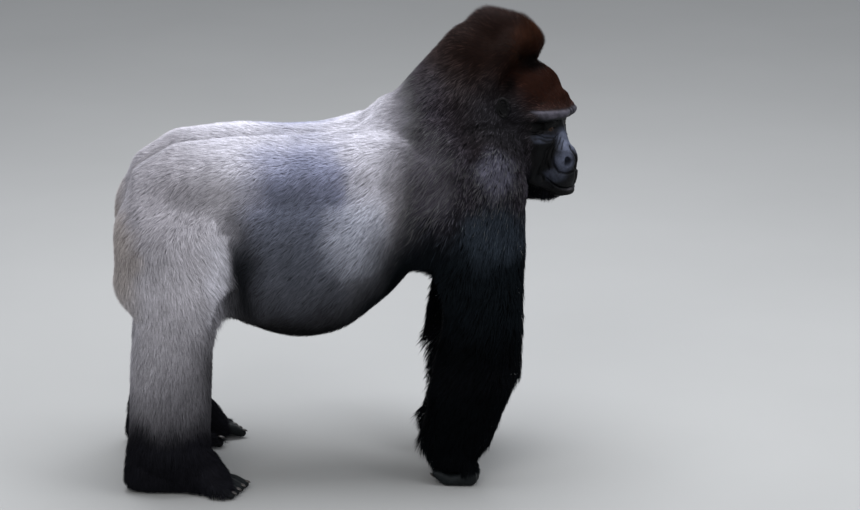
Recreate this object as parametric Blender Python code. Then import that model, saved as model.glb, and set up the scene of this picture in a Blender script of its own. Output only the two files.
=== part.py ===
"""A silverback gorilla standing on all fours, life size, as closed solids out to the tips of its coat.

Metres, +Z up, +X towards the head, +Y to the animal's left. The floor is Z = 0. The body is blended
from balls and tapered links, then parted by thin flat cuts where a person would name its parts.
"""

import math
from collections import namedtuple

import bmesh
import bpy
from mathutils import Matrix, Vector

# ---------------------------------------------------------------- parting and fineness
GAP = 0.0004  # air left between neighbouring pieces
BODY_VOXEL = 0.011
HEAD_VOXEL = 0.0052
PAW_VOXEL = 0.0045
MOUTH_VOXEL = 0.0016
EAR_VOXEL = 0.003
BODY_SMOOTHING = 8
HEAD_SMOOTHING = 4
PAW_SMOOTHING = 3
FINE_SMOOTHING = 1
BODY_TRIANGLES = 2700
HEAD_TRIANGLES = 1750
HAND_TRIANGLES = 400
FOOT_TRIANGLES = 390
EAR_TRIANGLES = 180
MOUTH_TRIANGLES = 1200
HEAD_FINENESS = 6  # times the final count, while the head is being cut
HAND_FINENESS = 3
FOOT_FINENESS = 5
EAR_FINENESS = 5
BALL_DETAIL = 4
BLOCK_SIZE = 6.0
SOLE_TRIM = 0.0006  # skimmed off under a hand or foot, so that it stands on a true flat
SOLE_REACH = 0.0008

# ---------------------------------------------------------------- trunk
Station = namedtuple("Station", "x half_width top bottom")
TRUNK = (
    Station(-0.540, 0.140, 0.765, 0.560),  # root of the rump
    Station(-0.440, 0.205, 0.842, 0.470),  # hips
    Station(-0.300, 0.245, 0.852, 0.420),  # loin
    Station(-0.150, 0.272, 0.842, 0.370),  # belly
    Station(-0.020, 0.275, 0.858, 0.386),  # lower ribs
    Station(0.090, 0.255, 0.885, 0.462),  # ribs
    Station(0.210, 0.205, 0.915, 0.570),  # chest
    Station(0.340, 0.150, 0.915, 0.620),  # breast
)
TRUNK_SQUARENESS = 2.3  # 2 is an ellipse
TRUNK_SIDES = 48
STEPS_PER_SPAN = 6

# ---------------------------------------------------------------- forms
# A form is a ball, or a link through several, each a centre and its radii. "both" forms are mirrored.
Form = namedtuple("Form", "joints both")


def single(*joints):
    """A form that stands once."""
    return Form(joints, False)


def paired(*joints):
    """A form that stands on both sides of its own middle plane."""
    return Form(joints, True)


TRUNK_FORMS = {
    "long back muscle": paired(
        ((-0.405, 0.138, 0.796), 0.078),
        ((-0.300, 0.138, 0.815), 0.078),
        ((-0.140, 0.138, 0.796), 0.078),
        ((0.020, 0.138, 0.811), 0.078),
        ((0.120, 0.138, 0.847), 0.078),
    ),
    "top of the rump": paired(((-0.455, 0.118, 0.722), (0.104, 0.092, 0.112))),
    "shoulder blade": paired(
        ((0.150, 0.155, 0.790), (0.110, 0.085, 0.100)),
        ((0.270, 0.150, 0.820), (0.100, 0.090, 0.100)),
    ),
    "muscle under the shoulder": paired(
        ((0.130, 0.170, 0.700), (0.120, 0.078, 0.130)),
        ((0.262, 0.196, 0.700), (0.100, 0.078, 0.120)),
    ),
    "breast": paired(
        ((0.220, 0.080, 0.650), (0.110, 0.095, 0.105)),
        ((0.320, 0.075, 0.700), (0.105, 0.090, 0.110)),
    ),
}

NECK_FORMS = {
    "hump": single(
        ((0.226, 0.0, 0.884), (0.155, 0.165, 0.136)),
        ((0.345, -0.010, 1.056), (0.118, 0.112, 0.132)),
    ),
    "shoulder to neck": paired(
        ((0.250, 0.095, 0.905), (0.120, 0.085, 0.090)),
        ((0.330, 0.180, 0.845), (0.105, 0.090, 0.090)),
    ),
    "side of the neck": paired(
        ((0.345, 0.062, 0.985), (0.105, 0.075, 0.100)),
        ((0.350, 0.168, 0.868), (0.098, 0.086, 0.086)),
    ),
    "throat": single(
        ((0.300, 0.0, 0.750), 0.125),
        ((0.420, -0.045, 0.860), (0.100, 0.095, 0.115)),
    ),
}

LEG_Y = 0.184
LEG_FORMS = {
    "buttock": single(((-0.455, 0.125, 0.662), (0.143, 0.118, 0.156))),
    "under the buttock": single(((-0.476, 0.160, 0.566), (0.124, 0.110, 0.124))),
    "front of the thigh": single(((-0.395, 0.190, 0.560), (0.080, 0.092, 0.105))),
    "thigh": single(
        ((-0.455, 0.165, 0.640), (0.135, 0.115, 0.140)),
        ((-0.425, LEG_Y, 0.480), (0.108, 0.098, 0.088)),
    ),
    "shin": single(
        ((-0.425, LEG_Y, 0.480), (0.108, 0.098, 0.088)),
        ((-0.450, LEG_Y, 0.400), (0.107, 0.090, 0.080)),
        ((-0.464, LEG_Y, 0.120), (0.108, 0.074, 0.060)),
    ),
}
ANKLE_Z = 0.100
FOOT_HEEL_X = -0.540
FOOT_TURN = math.radians(7)  # toes out
FOOT_FORMS = {
    "heel and instep": single(
        ((0.0, 0.0, 0.032), (0.040, 0.036, 0.036)),
        ((0.130, -0.002, 0.064), (0.084, 0.046, 0.067)),
        ((0.188, 0.002, 0.032), (0.048, 0.053, 0.034)),
    ),
    "big toe": single(
        ((0.100, -0.034, 0.026), 0.024),
        ((0.165, -0.072, 0.021), 0.0195),
        ((0.196, -0.083, 0.014), 0.0165),
    ),
    "second toe": single(
        ((0.196, -0.019, 0.026), 0.0185),
        ((0.240, -0.021, 0.025), 0.0160),
        ((0.268, -0.022, 0.012), 0.0130),
    ),
    "middle toe": single(
        ((0.196, 0.004, 0.026), 0.0185),
        ((0.233, 0.005, 0.025), 0.0160),
        ((0.259, 0.005, 0.012), 0.0130),
    ),
    "fourth toe": single(
        ((0.196, 0.027, 0.026), 0.0185),
        ((0.226, 0.030, 0.025), 0.0160),
        ((0.250, 0.032, 0.012), 0.0130),
    ),
    "little toe": single(
        ((0.196, 0.050, 0.026), 0.0185),
        ((0.219, 0.056, 0.025), 0.0160),
        ((0.241, 0.059, 0.012), 0.0130),
    ),
}

# ---------------------------------------------------------------- arms
ArmPose = namedtuple("ArmPose", "elbow_x wrist_x hand_x hand_y")
RIGHT_ARM = ArmPose(elbow_x=0.342, wrist_x=0.302, hand_x=0.275, hand_y=0.168)
LEFT_ARM = ArmPose(elbow_x=0.345, wrist_x=0.330, hand_x=0.276, hand_y=0.076)
WRIST_Z = 0.118
HAND_TURN = math.radians(8)  # knuckles out
SHOULDER_FORMS = {
    "shoulder": single(((0.350, 0.205, 0.805), (0.104, 0.094, 0.130))),
    "back of the upper arm": single(
        ((0.275, 0.214, 0.690), (0.086, 0.082, 0.120)),
        ((0.300, 0.220, 0.585), (0.083, 0.080, 0.120)),
    ),
}
UPPER_ARM_TOP = ((0.343, 0.210, 0.745), (0.109, 0.084, 0.100))
ELBOW_Y = 0.213
ELBOW_HEIGHT = 0.450
ELBOW_RADII = (0.105, 0.080, 0.085)
FOREARM_BACK = 0.010  # how far each lower joint of the arm sits from the line of its bones
FOREARM_Y = 0.198
FOREARM_HEIGHT = 0.325
FOREARM_RADII = (0.114, 0.082, 0.060)
LOW_FOREARM_BACK = 0.004
LOW_FOREARM_OUT = 0.020
LOW_FOREARM_HEIGHT = 0.205
LOW_FOREARM_RADII = (0.100, 0.068, 0.050)
WRIST_BACK = 0.025
WRIST_OUT = 0.004
WRIST_HEIGHT = 0.125
WRIST_RADII = (0.098, 0.060, 0.045)

PALM_FORMS = {
    "back of the hand": single(
        ((0.002, 0.0, 0.112), (0.084, 0.057, 0.042)),
        ((-0.008, 0.0, 0.074), (0.073, 0.058, 0.034)),
    ),
    "thumb": single(
        ((0.000, -0.044, 0.094), 0.019),
        ((0.022, -0.062, 0.066), 0.0150),
        ((0.032, -0.062, 0.044), 0.0125),
    ),
}
FINGER_COUNT = 4
FINGER_SPACING = 0.0265
FINGER_ARCH = 0.004  # how much further the two middle knuckles reach
FINGER_FORMS = {
    "folded finger": single(
        ((0.028, 0.0, 0.070), 0.0195),
        ((0.044, 0.0, 0.019), 0.0185),
        ((-0.022, 0.0, 0.0135), 0.0155),
        ((-0.046, 0.0, 0.034), 0.0145),
    ),
}

# ---------------------------------------------------------------- head, in its own axes from the root of the nose
NOSE_ROOT = Vector((0.540, -0.108, 0.946))
HEAD_TURN = math.radians(-31)  # the face looks to the animal's right
HEAD = Matrix.Translation(NOSE_ROOT) @ Matrix.Rotation(HEAD_TURN, 4, "Z")
HEAD_FORMS = {
    "skull": single(((-0.116, 0.0, 0.050), (0.122, 0.106, 0.112))),
    "upper temple": paired(((-0.108, 0.044, 0.096), (0.060, 0.042, 0.068))),
    "temple": paired(
        ((-0.105, 0.044, 0.100), (0.058, 0.042, 0.064)),
        ((-0.116, 0.072, 0.024), (0.074, 0.052, 0.084)),
    ),
    "crest": single(
        ((-0.116, 0.0, 0.160), (0.066, 0.057, 0.108)),
        ((-0.196, 0.0, 0.150), (0.080, 0.074, 0.126)),
    ),
    "forehead": single(((-0.070, 0.0, 0.080), (0.062, 0.062, 0.060))),
    "brow": paired(
        ((0.018, 0.022, 0.029), (0.024, 0.020, 0.019)),
        ((-0.014, 0.066, 0.024), (0.021, 0.020, 0.018)),
    ),
    "between the brows": single(((0.018, 0.0, 0.027), (0.023, 0.027, 0.018))),
    "cheek bone": paired(
        ((-0.008, 0.036, -0.050), 0.018),
        ((-0.034, 0.068, -0.046), 0.023),
        ((-0.086, 0.088, -0.036), 0.036),
    ),
    "cheek": paired(
        ((-0.046, 0.052, -0.080), (0.042, 0.036, 0.042)),
        ((-0.078, 0.068, -0.118), (0.052, 0.044, 0.048)),
    ),
    "face": single(
        ((-0.048, 0.0, 0.0), (0.052, 0.066, 0.050)),
        ((-0.018, 0.0, -0.115), (0.053, 0.055, 0.050)),
    ),
    "bridge of the nose": single(((-0.010, 0.0, 0.014), 0.014), ((0.019, 0.0, -0.072), 0.017)),
    "nose": single(((0.028, 0.0, -0.098), (0.027, 0.030, 0.024))),
    "wing of the nose": paired(
        ((0.027, 0.024, -0.101), (0.022, 0.018, 0.020)),
        ((0.014, 0.034, -0.106), (0.018, 0.015, 0.017)),
    ),
    "upper lip": single(
        ((-0.002, 0.0, -0.136), (0.054, 0.056, 0.036)),
        ((-0.002, 0.0, -0.154), (0.052, 0.052, 0.022)),
    ),
    "lower lip": single(((-0.005, 0.0, -0.188), (0.046, 0.043, 0.015))),
    "chin": single(((-0.020, 0.0, -0.188), (0.043, 0.042, 0.020))),
    "jaw": paired(((-0.022, 0.024, -0.170), 0.033), ((-0.100, 0.062, -0.130), 0.053)),
    "under the jaw": single(((-0.062, 0.0, -0.172), (0.052, 0.050, 0.041))),
    "back of the jaw": single(((-0.088, 0.0, -0.110), (0.070, 0.104, 0.080))),
}
EYE_SPACING = 0.074
EYE_RADIUS = 0.0125
EYE_DEPTH = -0.009
EYE_HEIGHT = -0.014
EYE_SEGMENTS = 12
EYE_RINGS = 8
SOCKET_FORMS = {"socket": paired(((0.012, 0.039, -0.013), (0.024, 0.024, 0.017)))}
NOSTRIL_FORMS = {"nostril": paired(((0.043, 0.0235, -0.101), (0.016, 0.0095, 0.0085)))}
MOUTH_GROOVE = (0.0090, 0.0090, 0.0035)
MOUTH_FORMS = {
    "groove between the lips": paired(
        ((0.056, 0.0, -0.176), MOUTH_GROOVE),
        ((0.044, 0.029, -0.177), MOUTH_GROOVE),
        ((0.022, 0.048, -0.163), MOUTH_GROOVE),
        ((0.004, 0.057, -0.139), MOUTH_GROOVE),
    ),
}
NECK_CUT_POINT = Vector((-0.055, 0.0, -0.212))
NECK_CUT_NORMAL = Vector((-0.887, 0.0, -0.460))
CHEEK_CUT_Y = 0.130
CHEEK_CUT_LEAN = math.radians(5)
EAR_PLACE = Vector((-0.090, 0.120, 0.062))
EAR_LEAN = math.radians(-22)  # the front rim lies closer to the skull
EAR_FORMS = {"ear": single(((0.0, 0.0, 0.0), (0.019, 0.012, 0.028)))}
EAR_HOLLOW_FORMS = {"hollow of the ear": single(((0.004, 0.011, 0.001), (0.012, 0.010, 0.019)))}

# ---------------------------------------------------------------- where the parts meet
Cut = namedtuple("Cut", "point outward")
ABOVE_FLOOR = Cut((0, 0, 0), (0, 0, -1))
CLEAR_OF_FLOOR = Cut((0, 0, SOLE_TRIM), (0, 0, -1))
BELOW_WRIST = Cut((0, 0, WRIST_Z), (0, 0, 1))
BELOW_ANKLE = Cut((0, 0, ANKLE_Z), (0, 0, 1))
BELOW_ELBOW = Cut((0, 0, 0.455), (0, 0, 1))
BELOW_KNEE = Cut((0, 0, 0.440), (0, 0, 1))
BEHIND_RIBS = Cut((0.060, 0, 0), (1, 0, 0))
BEHIND_LOIN = Cut((-0.292, 0, 0), (1, 0, 0))
ABOVE_COLLAR = Cut((0.120, 0, 0.950), (-0.560, 0, -0.828))
ARM_INNER_Y = 0.092
ARM_INNER = Cut((0, ARM_INNER_Y, 0.500), (0, -0.982, 0.190))
ARM_REAR = Cut((0.225, 0, 0.600), (-0.980, 0, 0.200))
LEG_INNER = Cut((0, 0.088, 0.450), (0, -0.985, 0.170))
LEG_TOP = Cut((-0.450, 0, 0.640), (-0.300, 0, 0.954))

# ---------------------------------------------------------------- finishes
Finish = namedtuple("Finish", "red green blue roughness")
SILVER_COAT = Finish(0.36, 0.35, 0.38, 0.85)
SADDLE_COAT = Finish(0.24, 0.25, 0.29, 0.85)
DARK_COAT = Finish(0.035, 0.032, 0.036, 0.80)
CREST_COAT = Finish(0.060, 0.030, 0.028, 0.85)
BARE_SKIN = Finish(0.030, 0.032, 0.038, 0.45)
EYE_GLASS = Finish(0.045, 0.022, 0.012, 0.10)
FINISH_BY_WORD = {
    "head": CREST_COAT,
    "neck": CREST_COAT,
    "eye": EYE_GLASS,
    "ear": BARE_SKIN,
    "hand": BARE_SKIN,
    "foot": BARE_SKIN,
    "chest": DARK_COAT,
    "upper_arm": DARK_COAT,
    "forearm": DARK_COAT,
    "abdomen": SADDLE_COAT,
    "pelvis": SILVER_COAT,
    "thigh": SILVER_COAT,
    "shin": SADDLE_COAT,
}
RIGHT = -1
LEFT = 1
SIDES = ((RIGHT, "right", RIGHT_ARM), (LEFT, "left", LEFT_ARM))


# ---------------------------------------------------------------- shaping helpers
def clear_scene():
    """Remove every object that the scene holds."""
    for thing in list(bpy.data.objects):
        bpy.data.objects.remove(thing, do_unlink=True)


def mirror(side):
    """The matrix that puts a left form on a side."""
    return Matrix.Diagonal((1.0, side, 1.0, 1.0))


def as_radii(radii):
    """Let one number stand for three equal radii."""
    if isinstance(radii, (int, float)):
        return (radii, radii, radii)
    return radii


def add_ball(body, centre, radii, place):
    """Add an ellipsoid to a body."""
    scale = Matrix.Diagonal((*as_radii(radii), 1.0))
    matrix = place @ Matrix.Translation(centre) @ scale
    bmesh.ops.create_icosphere(body, subdivisions=BALL_DETAIL, radius=1.0, matrix=matrix)


def add_link(body, joints, place):
    """Add a tapered link through joints, each a centre and its radii, with round ends."""
    for start, end in zip(joints, joints[1:]):
        link = bmesh.new()
        add_ball(link, *start, place)
        add_ball(link, *end, place)
        hull = bmesh.ops.convex_hull(link, input=link.verts[:])
        inside = set(hull["geom_interior"]) | set(hull["geom_unused"])
        spare = [item for item in inside if isinstance(item, bmesh.types.BMVert)]
        bmesh.ops.delete(link, geom=spare, context="VERTS")
        mesh = bpy.data.meshes.new("link")
        link.to_mesh(mesh)
        link.free()
        body.from_mesh(mesh)
        bpy.data.meshes.remove(mesh)


def add_forms(body, forms, place=Matrix.Identity(4)):
    """Add a table of forms to a body."""
    for form in forms.values():
        sides = (RIGHT, LEFT) if form.both else (LEFT,)
        for side in sides:
            sided = place @ mirror(side)
            if len(form.joints) == 1:
                add_ball(body, *form.joints[0], sided)
            else:
                add_link(body, form.joints, sided)


def smooth_between(values, share):
    """Catmull-Rom value between the middle two of four values."""
    before, start, end, after = values
    return 0.5 * (
        2 * start
        + (end - before) * share
        + (2 * before - 5 * start + 4 * end - after) * share**2
        + (3 * start - before - 3 * end + after) * share**3
    )


def trunk_stations():
    """Yield the trunk's sections, with smooth ones between the named ones."""
    ends = (TRUNK[0], *TRUNK, TRUNK[-1])
    for index in range(len(TRUNK) - 1):
        four = ends[index : index + 4]
        for step in range(STEPS_PER_SPAN):
            share = step / STEPS_PER_SPAN
            yield Station(*(smooth_between(column, share) for column in zip(*four)))
    yield TRUNK[-1]


def squared(value):
    """Bring a sine or cosine onto the trunk's squared ellipse."""
    return math.copysign(abs(value) ** (2 / TRUNK_SQUARENESS), value)


def add_trunk_barrel(body):
    """Loft the barrel of the trunk from the rump to the breast."""
    rings = []
    for station in trunk_stations():
        middle = (station.top + station.bottom) / 2
        half_height = (station.top - station.bottom) / 2
        ring = []
        for side in range(TRUNK_SIDES):
            angle = math.tau * side / TRUNK_SIDES
            across = station.half_width * squared(math.cos(angle))
            up = middle + half_height * squared(math.sin(angle))
            ring.append(body.verts.new((station.x, across, up)))
        rings.append(ring)
    for back, front in zip(rings, rings[1:]):
        for side in range(TRUNK_SIDES):
            after = (side + 1) % TRUNK_SIDES
            body.faces.new((back[side], front[side], front[after], back[after]))
    body.faces.new(rings[0])
    body.faces.new(reversed(rings[-1]))


# ---------------------------------------------------------------- body forms
def add_trunk_and_neck(body):
    """The barrel of the trunk with its muscles, the hump and the throat."""
    add_trunk_barrel(body)
    add_forms(body, TRUNK_FORMS)
    add_forms(body, NECK_FORMS)


def add_leg(body, side):
    """Buttock, thigh and shin, as a thick hairy column."""
    add_forms(body, LEG_FORMS, mirror(side))


def add_foot(body, side):
    """A foot that stands with its own X towards the toes and Y outwards."""
    stand = Matrix.Translation((FOOT_HEEL_X, LEG_Y * side, 0.0))
    add_forms(body, FOOT_FORMS, stand @ Matrix.Rotation(FOOT_TURN * side, 4, "Z") @ mirror(side))


def add_arm(body, side, pose):
    """Shoulder, upper arm and forearm with its hanging coat."""
    place = mirror(side)
    add_forms(body, SHOULDER_FORMS, place)
    elbow = (pose.elbow_x, ELBOW_Y, ELBOW_HEIGHT)
    forearm = (pose.elbow_x - FOREARM_BACK, FOREARM_Y, FOREARM_HEIGHT)
    low_forearm = (pose.wrist_x - LOW_FOREARM_BACK, pose.hand_y + LOW_FOREARM_OUT, LOW_FOREARM_HEIGHT)
    wrist = (pose.wrist_x - WRIST_BACK, pose.hand_y + WRIST_OUT, WRIST_HEIGHT)
    joints = (
        UPPER_ARM_TOP,
        (elbow, ELBOW_RADII),
        (forearm, FOREARM_RADII),
        (low_forearm, LOW_FOREARM_RADII),
        (wrist, WRIST_RADII),
    )
    add_link(body, joints, place)


def add_hand(body, side, pose):
    """A hand on its knuckles, with its own X towards the knuckles and Y outwards."""
    stand = Matrix.Translation((pose.hand_x, pose.hand_y * side, 0.0))
    place = stand @ Matrix.Rotation(HAND_TURN * side, 4, "Z") @ mirror(side)
    add_forms(body, PALM_FORMS, place)
    middle = (FINGER_COUNT - 1) / 2
    for finger in range(FINGER_COUNT):
        reach = FINGER_ARCH * (middle - abs(finger - middle))
        across = (finger - middle) * FINGER_SPACING
        add_forms(body, FINGER_FORMS, place @ Matrix.Translation((reach, across, 0.0)))


def body_form():
    """The whole body in one form."""
    body = bmesh.new()
    add_trunk_and_neck(body)
    add_forms(body, HEAD_FORMS, HEAD)
    for side, _, pose in SIDES:
        add_leg(body, side)
        add_foot(body, side)
        add_arm(body, side, pose)
        add_hand(body, side, pose)
    return body


def head_form():
    """The head with what it blends into."""
    body = bmesh.new()
    add_trunk_and_neck(body)
    add_forms(body, HEAD_FORMS, HEAD)
    for side, _, pose in SIDES:
        add_arm(body, side, pose)
    return body


def hand_form(side, pose):
    """One hand with its forearm."""
    body = bmesh.new()
    add_arm(body, side, pose)
    add_hand(body, side, pose)
    return body


def foot_form(side):
    """One foot with its shin."""
    body = bmesh.new()
    add_leg(body, side)
    add_foot(body, side)
    return body


def tool_form(forms, place=HEAD):
    """A table of forms by itself."""
    body = bmesh.new()
    add_forms(body, forms, place)
    return body


# ---------------------------------------------------------------- blending and cutting
def object_from(name, form):
    """Turn a form into an object in the scene."""
    bmesh.ops.recalc_face_normals(form, faces=form.faces[:])
    mesh = bpy.data.meshes.new(name)
    form.to_mesh(mesh)
    form.free()
    piece = bpy.data.objects.new(name, mesh)
    bpy.context.scene.collection.objects.link(piece)
    return piece


def apply_modifiers(piece):
    """Replace a piece's mesh by what its modifiers make of it."""
    bpy.context.view_layer.update()
    evaluated = piece.evaluated_get(bpy.context.evaluated_depsgraph_get())
    mesh = bpy.data.meshes.new_from_object(evaluated)
    piece.modifiers.clear()
    old = piece.data
    piece.data = mesh
    bpy.data.meshes.remove(old)


def thin_out(piece, triangles):
    """Collapse a piece to about so many triangles."""
    present = sum(len(face.vertices) - 2 for face in piece.data.polygons)
    thin = piece.modifiers.new("Thin", "DECIMATE")
    thin.ratio = min(1.0, triangles / present)
    thin.use_collapse_triangulate = True
    apply_modifiers(piece)


def blended(name, form, voxel, smoothing, triangles):
    """Melt a form's balls and links into one closed body with about so many triangles."""
    piece = object_from(name, form)
    remesh = piece.modifiers.new("Melt", "REMESH")
    remesh.mode = "VOXEL"
    remesh.voxel_size = voxel
    soften = piece.modifiers.new("Soften", "SMOOTH")
    soften.factor = 0.5
    soften.iterations = smoothing
    apply_modifiers(piece)
    thin_out(piece, triangles)
    return piece


def cutting_block(name, cuts, grow):
    """A convex block bounded by cuts and grown by a margin."""
    form = bmesh.new()
    bmesh.ops.create_cube(form, size=BLOCK_SIZE)
    for cut in cuts:
        normal = Vector(cut.outward).normalized()
        everything = form.verts[:] + form.edges[:] + form.faces[:]
        bmesh.ops.bisect_plane(
            form,
            geom=everything,
            plane_co=Vector(cut.point) + normal * grow,
            plane_no=normal,
            clear_outer=True,
        )
        bmesh.ops.holes_fill(form, edges=form.edges[:], sides=0)
    return object_from(name, form)


def combine(piece, cutter, operation):
    """Cut a piece with a cutter, or keep what lies in it, and drop the cutter."""
    cutter.hide_render = True
    cutter.display_type = "WIRE"
    boolean = piece.modifiers.new("Cut", "BOOLEAN")
    boolean.operation = operation
    boolean.solver = "EXACT"
    boolean.object = cutter
    apply_modifiers(piece)
    keep_largest_body(piece)
    bpy.data.objects.remove(cutter, do_unlink=True)


def reached_from(start, loose):
    """The faces joined to a first one, taken out of the loose ones."""
    reached = {start}
    front = [start]
    while front:
        face = front.pop()
        for edge in face.edges:
            for neighbour in edge.link_faces:
                if neighbour in loose:
                    loose.discard(neighbour)
                    reached.add(neighbour)
                    front.append(neighbour)
    return reached


def keep_largest_body(piece):
    """Triangulate a piece and drop the crumbs that a cut leaves."""
    form = bmesh.new()
    form.from_mesh(piece.data)
    bmesh.ops.triangulate(form, faces=form.faces[:])
    loose = set(form.faces)
    bodies = []
    while loose:
        bodies.append(reached_from(loose.pop(), loose))
    largest = max(bodies, key=len)
    crumbs = [face for face in form.faces if face not in largest]
    bmesh.ops.delete(form, geom=crumbs, context="FACES")
    form.to_mesh(piece.data)
    form.free()


def copy_of(piece, name):
    """A copy of a piece with a mesh of its own."""
    twin = piece.copy()
    twin.data = piece.data.copy()
    twin.name = name
    bpy.context.scene.collection.objects.link(twin)
    return twin


def taken(body, name, cuts):
    """Take what lies within cuts off a body as a piece, and leave a thin gap."""
    piece = copy_of(body, name)
    keep_within(piece, cuts)
    drop_within(body, cuts)
    return piece


def keep_within(piece, cuts):
    """Keep what lies within cuts of a piece."""
    combine(piece, cutting_block("block", cuts, 0.0), "INTERSECT")


def drop_within(piece, cuts):
    """Drop what lies within cuts of a piece, with the thin gap."""
    combine(piece, cutting_block("block", cuts, GAP), "DIFFERENCE")


def on_side(cut, side):
    """A cut of the left side, moved to a side."""
    place = mirror(side)
    return Cut(place @ Vector(cut.point), place @ Vector(cut.outward))


def head_cuts():
    """The neck cut behind the jaw and ears, and a leaning cut beside each cheek."""
    turn = HEAD.to_3x3()
    cuts = [Cut(HEAD @ NECK_CUT_POINT, turn @ NECK_CUT_NORMAL)]
    for side in (RIGHT, LEFT):
        point = HEAD @ Vector((0.0, CHEEK_CUT_Y * side, 0.0))
        outward = Vector((0.0, math.cos(CHEEK_CUT_LEAN) * side, -math.sin(CHEEK_CUT_LEAN)))
        cuts.append(Cut(point, turn @ outward))
    return cuts


# ---------------------------------------------------------------- pieces
def part_body():
    """Part the blended body into its named pieces."""
    body = blended("chest", body_form(), BODY_VOXEL, BODY_SMOOTHING, BODY_TRIANGLES)
    drop_within(body, head_cuts())
    pelvis = taken(body, "pelvis", [BEHIND_LOIN])
    pieces = []
    for side, word, _ in SIDES:
        upper_arm = taken(body, "upper_arm_" + word, [on_side(ARM_INNER, side), on_side(ARM_REAR, side)])
        forearm = taken(upper_arm, "forearm_" + word, [BELOW_ELBOW])
        drop_within(forearm, [BELOW_WRIST])
        thigh = taken(pelvis, "thigh_" + word, [on_side(LEG_INNER, side), on_side(LEG_TOP, side)])
        shin = taken(thigh, "shin_" + word, [BELOW_KNEE])
        drop_within(shin, [BELOW_ANKLE])
        pieces += [upper_arm, forearm, thigh, shin]
    neck = taken(body, "neck", [ABOVE_COLLAR])
    abdomen = taken(body, "abdomen", [BEHIND_RIBS])
    return pieces + [neck, abdomen, pelvis, body]


def make_paws():
    """Hands and feet, finer than the body, with flats where they stand."""
    paws = []
    for side, word, pose in SIDES:
        fine = HAND_TRIANGLES * HAND_FINENESS
        hand = blended("hand_" + word, hand_form(side, pose), PAW_VOXEL, PAW_SMOOTHING, fine)
        keep_within(hand, [ABOVE_FLOOR, BELOW_WRIST])
        thinned(hand, HAND_TRIANGLES)
        fine = FOOT_TRIANGLES * FOOT_FINENESS
        foot = blended("foot_" + word, foot_form(side), PAW_VOXEL, PAW_SMOOTHING, fine)
        keep_within(foot, [ABOVE_FLOOR, BELOW_ANKLE])
        thinned(foot, FOOT_TRIANGLES)
        paws += [hand, foot]
    return paws


def thinned(piece, triangles):
    """Bring a paw down to about so many triangles, then square its flats again."""
    top = max(vertex.co.z for vertex in piece.data.vertices)
    thin_out(piece, triangles)
    keep_within(piece, [CLEAR_OF_FLOOR, Cut((0, 0, top), (0, 0, 1))])
    for vertex in piece.data.vertices:
        if vertex.co.z < SOLE_REACH:
            vertex.co.z = 0.0


def eyeball(side, radius):
    """A faceted ball with its pole on the line of sight."""
    form = bmesh.new()
    centre = HEAD @ Vector((EYE_DEPTH, EYE_SPACING / 2 * side, EYE_HEIGHT))
    bmesh.ops.create_uvsphere(form, u_segments=EYE_SEGMENTS, v_segments=EYE_RINGS, radius=radius)
    turn = HEAD.to_3x3().to_4x4() @ Matrix.Rotation(math.radians(90), 4, "Y")
    form.transform(Matrix.Translation(centre) @ turn)
    bmesh.ops.triangulate(form, faces=form.faces[:])
    return form


def make_head():
    """The head with sockets, nostrils and the line of the mouth."""
    head = blended("head", head_form(), HEAD_VOXEL, HEAD_SMOOTHING, HEAD_TRIANGLES * HEAD_FINENESS)
    keep_within(head, head_cuts())
    combine(head, object_from("sockets", tool_form(SOCKET_FORMS)), "DIFFERENCE")
    combine(head, object_from("nostrils", tool_form(NOSTRIL_FORMS)), "DIFFERENCE")
    mouth = blended("mouth", tool_form(MOUTH_FORMS), MOUTH_VOXEL, FINE_SMOOTHING, MOUTH_TRIANGLES)
    combine(head, mouth, "DIFFERENCE")
    thin_out(head, HEAD_TRIANGLES)
    keep_within(head, head_cuts())
    for side in (RIGHT, LEFT):
        combine(head, object_from("seat", eyeball(side, EYE_RADIUS + GAP)), "DIFFERENCE")
    return head


def make_ear(side, word, head):
    """A small cupped ear against the side of the head."""
    lean = Matrix.Rotation(EAR_LEAN, 4, "Z")
    place = HEAD @ mirror(side) @ Matrix.Translation(EAR_PLACE) @ lean
    fine = EAR_TRIANGLES * EAR_FINENESS
    ear = blended("ear_" + word, tool_form(EAR_FORMS, place), EAR_VOXEL, FINE_SMOOTHING, fine)
    combine(ear, object_from("hollow", tool_form(EAR_HOLLOW_FORMS, place)), "DIFFERENCE")
    near_head = copy_of(head, "near_head")
    swell = near_head.modifiers.new("Swell", "DISPLACE")
    swell.strength = GAP
    swell.mid_level = 0.0
    apply_modifiers(near_head)
    combine(ear, near_head, "DIFFERENCE")
    thin_out(ear, EAR_TRIANGLES)
    return ear


# ---------------------------------------------------------------- finishes and place
def give_finish(piece, finish):
    """Give a piece a material of its own."""
    material = bpy.data.materials.new(piece.name)
    material.use_nodes = True
    shader = material.node_tree.nodes["Principled BSDF"]
    shader.inputs["Base Color"].default_value = (finish.red, finish.green, finish.blue, 1.0)
    shader.inputs["Roughness"].default_value = finish.roughness
    shader.inputs["Metallic"].default_value = 0.0
    material.diffuse_color = (finish.red, finish.green, finish.blue, 1.0)
    piece.data.materials.clear()
    piece.data.materials.append(material)
    piece.data.polygons.foreach_set("material_index", [0] * len(piece.data.polygons))


def centre_on_floor(pieces):
    """Stand the animal on Z = 0 with the middle of its box at X = Y = 0."""
    corners = [vertex.co for piece in pieces for vertex in piece.data.vertices]
    middle_x = (min(c.x for c in corners) + max(c.x for c in corners)) / 2
    middle_y = (min(c.y for c in corners) + max(c.y for c in corners)) / 2
    lowest = min(c.z for c in corners)
    for piece in pieces:
        piece.data.transform(Matrix.Translation((-middle_x, -middle_y, -lowest)))


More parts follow.
